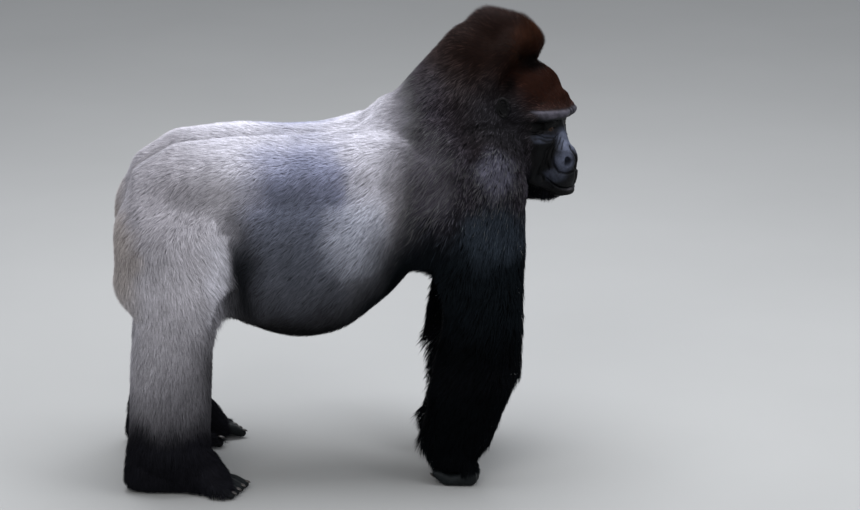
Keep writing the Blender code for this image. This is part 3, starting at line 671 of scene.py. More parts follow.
@dataclass(frozen=True)
class Lie:
    """The lie of the coat at a set of places."""

    flow: np.ndarray
    length: np.ndarray
    depth: np.ndarray
    width: np.ndarray
    rise: np.ndarray

    @staticmethod
    def at(points: np.ndarray) -> "Lie":
        """Blend the combs round each place.

        Args:
            points: places in the body's axes, one a row.

        Returns:
            The lie of the coat at each.
        """
        turn = np.array(HEAD.matrix())[:3, :3]
        total = np.zeros((len(points), 1))
        flow = np.zeros((len(points), 3))
        sizes = np.zeros((len(points), 4))
        for comb in COMBS:
            for side in SIDES:
                place = np.array((comb.place[0], comb.place[1] * side, comb.place[2]))
                lie = np.array((comb.flow[0], comb.flow[1] * side, comb.flow[2]))
                if comb.on_head:
                    place = HEAD.to_body(place[None])[0]
                    lie = turn @ lie
                gap = np.linalg.norm(points - place, axis=1) / comb.reach
                weight = (1.0 / (0.15 + gap * gap) ** 2.5)[:, None]
                total += weight
                flow += weight * unit(lie)
                sizes += weight * np.array((comb.length, comb.depth, comb.width, comb.rise))
        sizes = sizes / total
        for fold in FOLDS:
            sizes[:, :2] *= (1.0 - FOLD_THINNING * fold.share(points))[:, None]
        return Lie(unit(flow), *(sizes[:, column] for column in range(4)))


def bare_share(points: np.ndarray) -> np.ndarray:
    """How bare the skin is at places: 1 on the face, fingers, toes and soles, 0 under the coat."""
    head = HEAD.to_head(points)
    away = np.abs(head[:, 1])
    jaw = 1.0 - smooth_step(-0.188, -0.145, head[:, 2])
    widening = 0.12 * (away - 0.06) * (away > 0.06)
    front = smooth_step(-0.050, -0.030, head[:, 0] - 0.048 * jaw + widening)
    top = 1.0 - smooth_step(0.030, 0.041, head[:, 2] - 0.05 * away)
    sides = 1.0 - smooth_step(0.076, 0.092, away)
    under = smooth_step(-0.203, -0.188, head[:, 2])
    near = 1.0 - smooth_step(0.22, 0.25, np.linalg.norm(head, axis=1))
    face = front * top * sides * under * near
    hind = points[:, 0] < 0.0
    toes = hind * smooth_step(-0.330, -0.290, points[:, 0])
    toes = toes * (1.0 - smooth_step(0.06, 0.09, points[:, 2]))
    foot_sides = hind * (1.0 - smooth_step(0.008, 0.026, points[:, 2]))
    fingers = (~hind) * (1.0 - smooth_step(0.030, 0.058, points[:, 2]))
    return np.clip(face + toes + foot_sides + fingers, 0.0, 1.0)


# ---------------------------------------------------------------- skin
HEAD_FORMS = (
    # skull, temples, crest and forehead
    (((-0.116, 0.0, 0.050), (0.122, 0.106, 0.112)),),
    (((-0.108, 0.044, 0.096), (0.060, 0.042, 0.068)),),
    (((-0.105, 0.044, 0.100), (0.058, 0.042, 0.064)),
     ((-0.116, 0.072, 0.024), (0.074, 0.052, 0.084))),
    (((-0.116, 0.0, 0.160), (0.066, 0.057, 0.108)), ((-0.196, 0.0, 0.150), (0.080, 0.074, 0.126))),
    (
        round_joint((-0.106, 0.028, 0.190), 0.048),
        round_joint((-0.116, 0.060, 0.166), 0.045),
        round_joint((-0.140, 0.080, 0.120), 0.045),
        round_joint((-0.154, 0.087, 0.068), 0.045),
    ),
    (((-0.070, 0.0, 0.080), (0.062, 0.062, 0.060)),),
    # brow
    (
        ((0.018, 0.022, 0.029), (0.024, 0.020, 0.018)),
        ((-0.012, 0.064, 0.029), (0.021, 0.019, 0.016)),
        ((-0.030, 0.082, 0.022), (0.018, 0.014, 0.014)),
    ),
    (((0.018, 0.0, 0.028), (0.023, 0.027, 0.017)),),
    # between forehead and brow
    (((-0.008, 0.0, 0.052), (0.036, 0.050, 0.028)),),
    # cheeks
    (
        round_joint((-0.008, 0.036, -0.050), 0.018),
        round_joint((-0.034, 0.068, -0.046), 0.022),
        round_joint((-0.086, 0.088, -0.036), 0.036),
    ),
    (((-0.046, 0.052, -0.080), (0.040, 0.034, 0.042)),
     ((-0.078, 0.068, -0.118), (0.052, 0.044, 0.048))),
    (((-0.048, 0.0, 0.0), (0.051, 0.064, 0.050)), ((-0.018, 0.0, -0.115), (0.052, 0.053, 0.050))),
    # lids
    (
        round_joint((0.004, 0.020, -0.004), 0.0050),
        round_joint((0.003, 0.037, 0.003), 0.0060),
        round_joint((-0.009, 0.055, -0.006), 0.0055),
    ),
    (
        round_joint((0.003, 0.019, -0.022), 0.0045),
        round_joint((0.000, 0.036, -0.029), 0.0065),
        round_joint((-0.012, 0.055, -0.023), 0.0060),
    ),
    # nose
    (round_joint((-0.010, 0.0, 0.014), 0.014), round_joint((0.019, 0.0, -0.072), 0.0175)),
    (round_joint((0.000, 0.010, -0.028), 0.012), round_joint((0.020, 0.018, -0.080), 0.0125)),
    (((0.028, 0.0, -0.097), (0.026, 0.026, 0.024)),),
    (
        round_joint((0.030, 0.011, -0.078), 0.0110),
        round_joint((0.026, 0.026, -0.082), 0.0115),
        round_joint((0.019, 0.035, -0.097), 0.0100),
        round_joint((0.022, 0.033, -0.113), 0.0090),
        round_joint((0.034, 0.022, -0.118), 0.0090),
        round_joint((0.040, 0.006, -0.114), 0.0100),
    ),
    # lips, chin and jaw
    (((-0.002, 0.0, -0.134), (0.053, 0.055, 0.034)),
     ((-0.002, 0.0, -0.148), (0.053, 0.053, 0.026))),
    (((-0.004, 0.0, -0.167), (0.047, 0.051, 0.018)),),
    (((-0.004, 0.0, -0.184), (0.049, 0.046, 0.019)),
     ((-0.020, 0.0, -0.186), (0.043, 0.043, 0.020))),
    (round_joint((-0.022, 0.024, -0.170), 0.033), round_joint((-0.100, 0.062, -0.130), 0.053)),
    (((-0.062, 0.0, -0.172), (0.052, 0.050, 0.041)),),
    (((-0.088, 0.0, -0.110), (0.070, 0.104, 0.080)),),
)
LID_RADIUS = 0.0146
MOUTH_LINE = (
    (0.044, 0.000, -0.1680),
    (0.038, 0.028, -0.1685),
    (0.026, 0.046, -0.1640),
    (0.012, 0.055, -0.1550),
    (-0.006, 0.063, -0.1390),
)
FACE_STROKES = (
    # the mouth, with the edges of both lips
    Stroke(MOUTH_LINE, 0.0018, -0.0062),
    Stroke(tuple((x, y, z - 0.0060) for x, y, z in MOUTH_LINE[:4]), 0.0042, 0.0020),
    Stroke(tuple((x, y, z + 0.0060) for x, y, z in MOUTH_LINE[:4]), 0.0042, 0.0012),
    # the crease round the wing of the nose, and the folds beside it
    Stroke(((0.008, 0.018, -0.034), (-0.001, 0.031, -0.066), (0.006, 0.044, -0.086),
            (0.010, 0.045, -0.106), (0.022, 0.042, -0.124), (0.036, 0.028, -0.130),
            (0.048, 0.010, -0.127)), 0.0036, -0.0046),
    Stroke(((0.002, 0.025, -0.040), (-0.009, 0.042, -0.070), (-0.008, 0.054, -0.092),
            (0.000, 0.054, -0.118)), 0.0032, -0.0026),
    Stroke(((-0.004, 0.032, -0.044), (-0.018, 0.054, -0.072), (-0.018, 0.062, -0.098)), 0.0034,
           -0.0018),
    Stroke(((0.012, 0.014, -0.040), (0.010, 0.022, -0.056), (0.008, 0.030, -0.070)), 0.0024,
           -0.0014),
    Stroke(((0.020, 0.012, -0.048), (0.019, 0.020, -0.062), (0.022, 0.026, -0.072)), 0.0022,
           -0.0012),
    # down the middle of the nose and lip
    Stroke(((0.030, 0.0, -0.064), (0.044, 0.0, -0.082), (0.052, 0.0, -0.100), (0.050, 0.0, -0.122)),
           0.0044, -0.0026),
    Stroke(((0.050, 0.0, -0.130), (0.050, 0.0, -0.158)), 0.0050, -0.0012),
    # under the eye
    Stroke(((0.006, 0.017, -0.030), (0.002, 0.034, -0.040), (-0.012, 0.056, -0.036),
            (-0.026, 0.068, -0.028)), 0.0028, -0.0026),
    Stroke(((0.002, 0.030, -0.046), (-0.012, 0.056, -0.046), (-0.030, 0.074, -0.036)), 0.0034,
           -0.0016),
    # over the eye and at its outer corner
    Stroke(((0.006, 0.018, 0.004), (0.004, 0.036, 0.010), (-0.008, 0.056, 0.004)), 0.0026, -0.0026),
    Stroke(((-0.014, 0.058, -0.014), (-0.028, 0.072, -0.014), (-0.042, 0.082, -0.008)), 0.0026,
           -0.0020),
    Stroke(((-0.014, 0.058, -0.020), (-0.030, 0.073, -0.024), (-0.044, 0.083, -0.022)), 0.0026,
           -0.0014),
    # between the brows
    Stroke(((0.036, 0.007, 0.040), (0.040, 0.007, 0.026), (0.028, 0.009, 0.010)), 0.0034, -0.0020),
    Stroke(((0.012, 0.0, 0.006), (0.009, 0.011, 0.004)), 0.0026, -0.0018),
    # cheek and chin
    Stroke(((-0.020, 0.064, -0.104), (-0.016, 0.066, -0.126), (-0.010, 0.064, -0.146)), 0.0040,
           -0.0018),
    Stroke(((0.038, 0.0, -0.190), (0.030, 0.024, -0.190), (0.014, 0.036, -0.186)), 0.0040, -0.0012),
)
BODY_FORMS = (
    # the muscles on each side of the spine, and the slope outside them
    (
        ((-0.530, 0.060, 0.680), (0.046, 0.060, 0.070)),
        ((-0.490, 0.062, 0.785), (0.062, 0.066, 0.066)),
        ((-0.410, 0.070, 0.826), (0.070, 0.070, 0.070)),
        ((-0.250, 0.066, 0.838), (0.080, 0.072, 0.070)),
        ((-0.135, 0.050, 0.836), (0.080, 0.084, 0.070)),
        ((-0.033, 0.038, 0.842), (0.080, 0.090, 0.068)),
        ((0.080, 0.030, 0.870), (0.080, 0.090, 0.068)),
        ((0.150, 0.028, 0.930), (0.070, 0.080, 0.068)),
    ),
    (
        ((-0.525, 0.115, 0.670), (0.048, 0.066, 0.070)),
        ((-0.490, 0.112, 0.765), (0.060, 0.070, 0.066)),
        ((-0.410, 0.120, 0.812), (0.070, 0.074, 0.072)),
        ((-0.250, 0.122, 0.824), (0.080, 0.076, 0.074)),
        ((-0.135, 0.116, 0.820), (0.080, 0.076, 0.072)),
        ((-0.033, 0.112, 0.828), (0.080, 0.078, 0.070)),
        ((0.080, 0.110, 0.858), (0.070, 0.078, 0.068)),
    ),
    # the back of the ankle
    (((-0.512, 0.184, 0.160), (0.056, 0.050, 0.050)),
     ((-0.530, 0.184, 0.046), (0.052, 0.044, 0.044))),
)
BODY_STROKES = (
    # the front of the thigh, beside the fold of the groin
    Stroke(((-0.348, 0.285, 0.730), (-0.326, 0.290, 0.660), (-0.318, 0.290, 0.580),
            (-0.332, 0.285, 0.500)), 0.028, 0.013),
    # the middle of the back
    Stroke(((-0.520, 0.0, 0.780), (-0.470, 0.0, 0.840), (-0.400, 0.0, 0.860), (-0.250, 0.0, 0.865),
            (-0.050, 0.0, 0.870), (0.080, 0.0, 0.905)), 0.022, -0.010),
    # the bend of the elbow
    Stroke(((0.440, 0.250, 0.450), (0.380, 0.290, 0.435), (0.300, 0.290, 0.430)), 0.020, -0.006),
)


@dataclass
class Skin:
    """One skin over the whole body, inside the solids by the depth of the coat."""

    voxel: float = 0.0048
    smoothing: int = 7
    blending: int = 140
    triangles: int = 60_000
    limit: int = 186_000
    nostril: Point = (0.037, 0.0265, -0.0980)
    nostril_reach: tuple[float, float] = (0.0100, 0.0145)
    nostril_depth: float = 0.016
    lid_open: float = 0.42
    lid_length: float = 0.80
    lid_outward: float = 0.26
    lid_inner: float = 0.0100
    piece: bpy.types.Object | None = field(default=None)

    @staticmethod
    def flesh() -> list[str]:
        """The names of the solids that the skin stands for."""
        return sorted(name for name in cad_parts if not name.startswith(("eye_", "ear_")))

    @staticmethod
    def copied() -> list[str]:
        """The names of the solids that the skin starts from."""
        return [name for name in Skin.flesh() if not name.startswith(("hand_", "foot_"))]

    def gathered(self) -> bmesh.types.BMesh:
        """Copies of the solids, merged and closed up, with the fine forms of the face."""
        form = bmesh.new()
        for name in self.copied():
            part = bmesh.new()
            part.from_mesh(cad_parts[name].data)
            bmesh.ops.remove_doubles(part, verts=part.verts[:], dist=1e-5)
            part.normal_update()
            for vertex in part.verts:
                vertex.co += vertex.normal * GAP_COVER
            mesh = bpy.data.meshes.new("part")
            part.to_mesh(mesh)
            part.free()
            form.from_mesh(mesh)
            bpy.data.meshes.remove(mesh)
        add_paws(form)
        body = Matrix.Identity(4)
        for forms, axes in ((BODY_FORMS, body), (HEAD_FORMS, HEAD.matrix())):
            for joints in forms:
                for side in SIDES:
                    sided = axes @ mirror(side)
                    if len(joints) == 1:
                        add_ball(form, joints[0], sided)
                    else:
                        add_link(form, joints, sided)
        for side in SIDES:
            centre = HEAD.eye_centre(side)
            add_ball(form, round_joint(tuple(centre), LID_RADIUS), Matrix.Identity(4))
        return form

    def build(self) -> bpy.types.Object:
        """Melt, thin, refine and sculpt the skin.

        Returns:
            The skin's object.
        """
        self.piece = object_from("skin", self.gathered())
        melt(self.piece, self.voxel)
        apply_modifiers(self.piece)
        mesh = self.piece.data
        places = places_of(mesh)
        edges = edges_of(mesh)
        bare = bare_share(places)
        places = relaxed(places, edges, np.full(len(places), 0.5), 3)
        places = relaxed(places, edges, 0.5 * (1.0 - bare), self.smoothing)
        self.even_out(mesh, places, edges)
        self.thin(bare)
        self.refine()
        self.sink()
        self.sculpt()
        self.rest_on_floor()
        self.lighten()
        self.piece.data.shade_smooth()
        return self.piece

    def even_out(self, mesh: bpy.types.Mesh, places: np.ndarray, edges: np.ndarray) -> None:
        """Blend hips, thighs and trunk into each other without losing their girth."""
        x, _, z = places.T
        share = smooth_step(0.13, 0.20, z) * (1.0 - smooth_step(0.10, 0.22, x))
        share = share * (1.0 - 0.80 * smooth_step(0.76, 0.84, z) * smooth_step(-0.50, -0.40, x))
        softened = relaxed(places, edges, 0.5 * share, self.blending)
        move_to(mesh, softened)
        normals = normals_of(mesh)
        lost = ((places - softened) * normals).sum(1, keepdims=True)
        lost = relaxed(lost, edges, np.full(len(places), 0.5), 2 * self.blending)
        move_to(mesh, softened + normals * lost * share[:, None])

    def thin(self, bare: np.ndarray) -> None:
        """Use few triangles under the coat and many where the skin is bare."""
        group = self.piece.vertex_groups.new(name="coated")
        for vertex in np.nonzero(bare < 0.02)[0]:
            group.add([int(vertex)], 1.0, "REPLACE")
        present = 2 * len(self.piece.data.polygons)
        thin_out(self.piece, self.triangles / present, group.name)
        self.piece.vertex_groups.clear()

    def refine(self) -> None:
        """Split the faces of the face and paws, finest round the eyes, nose and mouth."""
        for rounds, reach in ((1, 0.0), (2, 1.0)):
            form = bmesh.new()
            form.from_mesh(self.piece.data)
            places = places_of(self.piece.data)
            wanted = bare_share(places) > 0.15
            if reach:
                head = HEAD.to_head(places)
                x, y, z = head.T
                wanted = (x > -0.030) & (np.abs(y) < 0.066) & (z > -0.195) & (z < 0.020)
                wanted &= np.linalg.norm(head, axis=1) < 0.24
            form.edges.ensure_lookup_table()
            chosen = [
                edge for edge in form.edges if all(wanted[vertex.index] for vertex in edge.verts)
            ]
            bmesh.ops.subdivide_edges(form, edges=chosen, cuts=1, use_grid_fill=True)
            bmesh.ops.triangulate(form, faces=[face for face in form.faces if len(face.verts) > 4])
            form.to_mesh(self.piece.data)
            form.free()
            places = places_of(self.piece.data)
            share = 0.5 * (bare_share(places) > 0.10)
            move_to(self.piece.data, relaxed(places, edges_of(self.piece.data), share, 3 * rounds))

    def sink(self) -> None:
        """Bring the skin inside the solids by the depth of the coat."""
        mesh = self.piece.data
        places = places_of(mesh)
        edges = edges_of(mesh)
        normals = relaxed(normals_of(mesh), edges, np.full(len(places), 0.5), 6)
        tree = find_tree(places)
        swell = sum(stroke.rise(places, tree) for stroke in BODY_STROKES)
        for fold in FOLDS:
            fold.lay(tree)
            swell -= fold.depth * fold.share(places)
        lie = Lie.at(places)
        depth = lie.depth * (1.0 - bare_share(places)) - swell
        share = np.full(len(places), 0.5)
        depth = relaxed(depth[:, None], edges, share, 4)[:, 0]
        move_to(mesh, places - unit(normals) * depth[:, None])

    def lighten(self) -> None:
        """Drop the triangles that the finished shape can spare."""
        thin_out(self.piece, self.limit / triangle_count(self.piece))

    def rest_on_floor(self) -> None:
        """Keep the soles and knuckles just above the floor's level."""
        places = places_of(self.piece.data)
        places[:, 2] = np.maximum(places[:, 2], FLOOR_GAP)
        move_to(self.piece.data, places)

    def sculpt(self) -> None:
        """Open the lids and nostrils and press in the folds of the face."""
        mesh = self.piece.data
        places = places_of(mesh)
        normals = normals_of(mesh)
        head = HEAD.to_head(places)
        x, y, z = head.T
        near = np.nonzero((x > -0.06) & (np.abs(z) < 0.24) & (np.abs(y) < 0.12))[0]
        local = head[near]
        turn = np.array(HEAD.matrix())[:3, :3]
        outward = normals[near] @ turn
        tree = find_tree(local)
        shift = sum(stroke.rise(local, tree) for stroke in FACE_STROKES)
        moved = local + outward * shift[:, None]
        for side in SIDES:
            moved = self.with_nostril(moved, side)
            moved = self.with_lids(moved, side)
        places[near] = HEAD.to_body(moved)
        move_to(mesh, places)

    def with_nostril(self, local: np.ndarray, side: int) -> np.ndarray:
        """Push a nostril into the nose."""
        centre = np.array((self.nostril[0], self.nostril[1] * side, self.nostril[2]))
        inward = unit(np.array((-0.80, -0.50 * side, 0.33)))
        offset = local - centre
        across = offset - (offset @ inward)[:, None] * inward
        wide, high = self.nostril_reach
        gap = np.linalg.norm(across / np.array((wide, wide, high)), axis=1)
        front = (offset @ inward) < 0.012
        share = (1.0 - smooth_step(0.55, 1.05, gap)) * front
        return local + inward * (self.nostril_depth * share)[:, None]

    def with_lids(self, local: np.ndarray, side: int) -> np.ndarray:
        """Open the lids over an eyeball."""
        centre = np.array(HEAD.to_head(np.array(HEAD.eye_centre(side))[None])[0])
        offset = local - centre
        radius = np.linalg.norm(offset, axis=1)
        direction = offset / np.maximum(radius, 1e-6)[:, None]
        along = (direction[:, 1] * side - self.lid_outward) / self.lid_length
        opening = self.lid_open * np.sqrt(np.clip(1.0 - along * along, 0.0, 1.0))
        height = np.abs(direction[:, 2] + 0.04 + 0.06 * along)
        inside = smooth_step(-0.02, 0.09, opening - height)
        inside = inside * (direction[:, 0] > 0.25) * (radius < 0.030)
        target = radius + (self.lid_inner - radius) * inside
        return centre + direction * target[:, None]


# ---------------------------------------------------------------- coat
USUAL_LENGTH = 0.030
USUAL_WIDTH = 0.0030
BAKE_PATCH = 0.003  # how wide each lock's patch of the bake map is
BAKE_CORNERS = ((0.5, 0.0), (0.0, 0.5), (1.0, 0.5), (0.5, 0.6), (0.5, 1.0))
CHART_FACES = 2500
LOCKS_A_WISP = 14
MID_LOCK_ROOT = 0.40  # how much of the root's colour the middle of a lock has
PALER = (3.0, 8.0)  # how many times paler than its neighbours a pale hair's tip is
PALEST = 0.15
SWAY_SEEDS = (30, 31, 32)
SHADE_SEEDS = (41, 42)
SHADE_SPREAD = 0.22
SHADE_LIMITS = (0.35, 1.9)
LOCK_FRONT = ((1, 3, 4), (3, 2, 4), (2, 1, 4))
BENT_FACES = ((3, 1, 0), (2, 3, 0), (1, 2, 0), *LOCK_FRONT)
STRAIGHT_FACES = ((1, 2, 3), *LOCK_FRONT)


@dataclass
class Coat:
    """The coat of one region, as closed three-sided locks that overlap.

    A straight lock is widest in the skin and ends in a point. A bent one starts at a point under
    the skin, is widest halfway, bends there and ends in a point.
    """

    region: Region
    locks: int
    seed: int
    bent: bool = False
    stray: float = 0.17  # how far single locks leave the common direction
    clump: float = 0.15
    clump_size: float = 0.010
    sunk: float = 0.0010
    roundness: float = 0.75
    body_shading: float = 0.72  # how far a lock takes its light from the form of the body

    def build(self, skin: "RootBed") -> bpy.types.Object:
        """Grow the region's locks.

        Args:
            skin: the skin's surface, ready to be rooted in.

        Returns:
            The coat piece.
        """
        chance = np.random.default_rng(self.seed)
        roots, normals = skin.rooted(self.region, self.locks, chance)
        lie = Lie.at(roots)
        pigment = Pigment.at(roots)
        bare = bare_share(roots)
        count = len(roots)
        sway = np.column_stack([ripple(roots, 0.05, seed) for seed in SWAY_SEEDS])
        jitter = chance.normal(size=(count, 3))
        flow = lie.flow + 0.15 * sway + self.stray * jitter
        flow = unit(flow - (flow * normals).sum(1, keepdims=True) * normals)
        length = lie.length * chance.uniform(0.75, 1.2, count) * (1.0 - 0.55 * bare)
        lift = lie.depth * chance.uniform(0.82, 1.12, count)
        stand = np.clip(lie.rise + 0.05 * chance.normal(size=count), 0.0, 1.2)[:, None]
        lying = flow * length[:, None] + normals * lift[:, None]
        standing = unit(flow + normals * 1.2) * length[:, None]
        reach = lying * (1.0 - stand.clip(0, 1)) + standing * stand.clip(0, 1)
        tips = roots + reach
        tips = self.clumped(roots, tips, chance)
        if self.bent:
            widest = roots + (tips - roots) * 0.5 + normals * (lift * 0.30)[:, None]
        else:
            widest = roots - normals * self.sunk
        width = lie.width * chance.uniform(0.75, 1.25, count) * (1.0 - 0.35 * bare)
        return self.locks_piece(roots, widest, tips, normals, width, pigment, chance, skin)

    def clumped(
        self, roots: np.ndarray, tips: np.ndarray, chance: np.random.Generator
    ) -> np.ndarray:
        """Draw tips together into wisps."""
        seeds = chance.choice(len(roots), size=max(8, len(roots) // LOCKS_A_WISP), replace=False)
        tree = KDTree(len(seeds))
        for order, index in enumerate(seeds):
            tree.insert(roots[index], order)
        tree.balance()
        own = np.array([tree.find(root)[1] for root in roots])
        leader = seeds[own]
        gap = np.linalg.norm(roots - roots[leader], axis=1)
        share = self.clump * np.exp(-((gap / self.clump_size) ** 2))
        return tips + (tips[leader] - tips) * share[:, None]

    def locks_piece(
        self,
        roots: np.ndarray,
        widest: np.ndarray,
        tips: np.ndarray,
        normals: np.ndarray,
        width: np.ndarray,
        pigment: Pigment,
        chance: np.random.Generator,
        skin: "RootBed",
    ) -> bpy.types.Object:
        """Join the locks in one mesh with their colours and bake map."""
        count = len(roots)
        along = unit(tips - roots)
        side = unit(np.cross(along, normals))
        rise = np.cross(side, along)
        half = (width / 2)[:, None]
        vertices = np.empty((count, 5, 3))
        vertices[:, 0] = roots - normals * self.sunk
        vertices[:, 1] = widest - side * half
        vertices[:, 2] = widest + side * half
        vertices[:, 3] = widest + rise * half * self.roundness
        vertices[:, 4] = tips
        first = 0 if self.bent else 1
        corners = 5 - first
        vertices = vertices[:, first:]
        vertices[..., 2] = np.maximum(vertices[..., 2], FLOOR_GAP)
        shape = np.array(BENT_FACES if self.bent else STRAIGHT_FACES, np.int32) - first
        starts = np.arange(count, dtype=np.int32) * corners
        faces = (shape[None] + starts[:, None, None]).ravel()
        mesh = bpy.data.meshes.new("coat_" + self.region.name.lower())
        mesh.vertices.add(count * corners)
        mesh.vertices.foreach_set("co", vertices.astype(np.float32).ravel())
        mesh.loops.add(len(faces))
        mesh.loops.foreach_set("vertex_index", faces)
        mesh.polygons.add(len(faces) // 3)
        mesh.polygons.foreach_set("loop_start", np.arange(0, len(faces), 3, dtype=np.int32))
        mesh.update(calc_edges=True)
        store_colours(mesh, self.lock_colours(roots, pigment, chance)[:, first:])
        self.map_bake(mesh, skin.unwrapped(self.region, roots), faces, first)
        piece = new_object(mesh.name, mesh)
        mesh.shade_smooth()
        facing = np.repeat(normals[:, None], corners, axis=1)
        own = np.stack([rise, rise - side * 1.4, rise + side * 1.4, rise, rise], axis=1)[:, first:]
        facing = unit(facing * self.body_shading + unit(own) * (1.0 - self.body_shading))
        mesh.normals_split_custom_set_from_vertices(facing.reshape(-1, 3).tolist())
        return piece

    @staticmethod
    def lock_colours(
        roots: np.ndarray, pigment: Pigment, chance: np.random.Generator
    ) -> np.ndarray:
        """Colour each lock from root to tip, with a few pale tips where the coat is flecked."""
        count = len(roots)
        fine, broad = SHADE_SEEDS
        shade = 1.0 + 0.07 * ripple(roots, 0.018, fine) + 0.06 * ripple(roots, 0.06, broad)
        shade = shade + SHADE_SPREAD * chance.normal(size=count)
        shade = np.clip(shade, *SHADE_LIMITS)[:, None]
        pale = (chance.random(count) < pigment.fleck)[:, None]
        paler = chance.uniform(*PALER, (count, 1))
        brighter = np.minimum(pigment.tip * paler, np.maximum(pigment.tip, PALEST))
        tip = np.where(pale, brighter, pigment.tip) * shade
        root = pigment.root * shade
        colours = np.ones((count, 5, 4))
        # painted shade: the root corner, deep in the coat, takes the darker root colour
        colours[:, 0, :3] = root
        colours[:, 1:4, :3] = (
            root * MID_LOCK_ROOT + pigment.tip * shade * (1.0 - MID_LOCK_ROOT)
        )[:, None]
        colours[:, 4, :3] = tip
        return colours

    @staticmethod
    def map_bake(
        mesh: bpy.types.Mesh, root_map: np.ndarray, faces: np.ndarray, first: int
    ) -> None:
        """Give each lock a small patch of the bake map at its root's place."""
        offsets = np.array(BAKE_CORNERS)
        spots = root_map[:, None, :] + (offsets[None, first:] - 0.5) * BAKE_PATCH
        layer = mesh.uv_layers.new(name=BAKE_MAP)
        layer.data.foreach_set("uv", spots.reshape(-1, 2)[faces].astype(np.float32).ravel())


@dataclass
class RootBed:
    """The skin's faces, sorted by region, for locks to root in."""

    skin: bpy.types.Object
    corners: np.ndarray = field(init=False)
    normals: np.ndarray = field(init=False)
    weight: np.ndarray = field(init=False)
    region: np.ndarray = field(init=False)

    def __post_init__(self) -> None:
        """Read the skin's triangles once."""
        mesh = self.skin.data
        mesh.calc_loop_triangles()
        triangles = np.empty(len(mesh.loop_triangles) * 3, np.int32)
        mesh.loop_triangles.foreach_get("vertices", triangles)
        triangles = triangles.reshape(-1, 3)
        places = places_of(mesh)
        self.corners = places[triangles]
        self.normals = normals_of(mesh)[triangles]
        middles = self.corners.mean(1)
        one, two, three = self.corners.transpose(1, 0, 2)
        cross = np.cross(two - one, three - one)
        area = np.linalg.norm(cross, axis=1) / 2
        lie = Lie.at(middles)
        density = (USUAL_LENGTH / lie.length) * (USUAL_WIDTH / lie.width)
        self.weight = area * density * (1.0 - smooth_step(0.35, 0.75, bare_share(middles)))
        for fold in FOLDS:
            self.weight = self.weight * (1.0 - FOLD_THINNING * fold.share(middles))
        self.region = self.sorted_regions(middles)

    @staticmethod
    def sorted_regions(middles: np.ndarray) -> np.ndarray:
        """The region's number at each place."""
        order = list(Region)
        x, y, z = middles.T
        head = HEAD.to_head(middles)
        neck_cut = (head[:, 0] + 0.055) * -0.887 + (head[:, 2] + 0.212) * -0.460
        number = np.full(len(middles), order.index(Region.BACK))
        number[x > 0.060] = order.index(Region.CHEST)
        number[(x - 0.120) * 0.560 + (z - 0.950) * 0.828 > 0] = order.index(Region.NECK)
        outside = np.abs(y) - 0.092 - 0.193 * (z - 0.5) > 0
        ahead = x - 0.225 - 0.204 * (z - 0.6) > 0
        on_arm = outside & ahead | ((x > 0.12) & (z < 0.44))
        number[on_arm & (y < 0)] = order.index(Region.RIGHT_ARM)
        number[on_arm & (y >= 0)] = order.index(Region.LEFT_ARM)
        on_head = (neck_cut < 0) & (np.abs(head[:, 1]) < 0.135) & (x > 0.2) & (z > 0.7)
        number[on_head] = order.index(Region.HEAD)
        number[x < -0.290] = order.index(Region.RUMP)
        on_leg = (x < -0.20) & (z < 0.600 - 0.31 * (x + 0.45)) & ((np.abs(y) > 0.088) | (z < 0.40))
        number[on_leg & (x < -0.29) & (y < 0)] = order.index(Region.RIGHT_LEG)
        number[on_leg & (x < -0.29) & (y >= 0)] = order.index(Region.LEFT_LEG)
        return number

    def rooted(
        self, region: Region, count: int, chance: np.random.Generator
    ) -> tuple[np.ndarray, np.ndarray]:
        """Scatter roots evenly over a region.

        Args:
            region: where.
            count: how many.
            chance: the source of chance.

        Returns:
            The roots and the outward directions there.
        """
        inside = np.nonzero(self.region == list(Region).index(region))[0]
        total = np.cumsum(self.weight[inside])
        marks = (np.arange(count) + chance.random(count)) / count * total[-1]
        chosen = inside[np.searchsorted(total, marks)]
        first, second = chance.random((2, count))
        fold = first + second > 1.0
        first[fold] = 1.0 - first[fold]
        second[fold] = 1.0 - second[fold]
        shares = np.column_stack([1.0 - first - second, first, second])[:, :, None]
        roots = (self.corners[chosen] * shares).sum(1)
        normals = unit((self.normals[chosen] * shares).sum(1))
        return roots, normals

    def unwrapped(self, region: Region, roots: np.ndarray) -> np.ndarray:
        """The places of roots on an unwrap of the region's own surface."""
        inside = np.nonzero(self.region == list(Region).index(region))[0]
        mesh = bpy.data.meshes.new("chart")
        corners = self.corners[inside].reshape(-1, 3)
        mesh.from_pydata(corners.tolist(), [], np.arange(len(corners)).reshape(-1, 3).tolist())
        chart = new_object("chart", mesh)
        weld = chart.modifiers.new("Weld", "WELD")
        weld.merge_threshold = 1e-5
        thin_out(chart, CHART_FACES / max(len(inside), 1))
        bpy.context.view_layer.objects.active = chart
        for thing in bpy.context.selected_objects:
            thing.select_set(False)
        chart.select_set(True)
        bpy.ops.object.mode_set(mode="EDIT")
        bpy.ops.mesh.select_all(action="SELECT")
        bpy.ops.uv.smart_project(angle_limit=math.radians(66), island_margin=0.004)
        bpy.ops.object.mode_set(mode="OBJECT")
        chart.data.calc_loop_triangles()
        triangles = chart.data.loop_triangles
        vertices = [tuple(vertex.co) for vertex in chart.data.vertices]
        faces = [tuple(triangle.vertices) for triangle in triangles]
        layer = chart.data.uv_layers.active.data
        spots = np.array([[layer[loop].uv[:] for loop in triangle.loops] for triangle in triangles])
        tree = BVHTree.FromPolygons(vertices, faces)
        places = np.array(vertices)[np.array(faces)]
        found = np.empty((len(roots), 2))
        for index, root in enumerate(roots):
            near, _, face, _ = tree.find_nearest(root)
            first, second = self.shares(places[face], near)
            spot = spots[face]
            found[index] = spot[0] * (1.0 - first - second) + spot[1] * first + spot[2] * second
        bpy.data.objects.remove(chart, do_unlink=True)
        return np.clip(found, 0.002, 0.998)

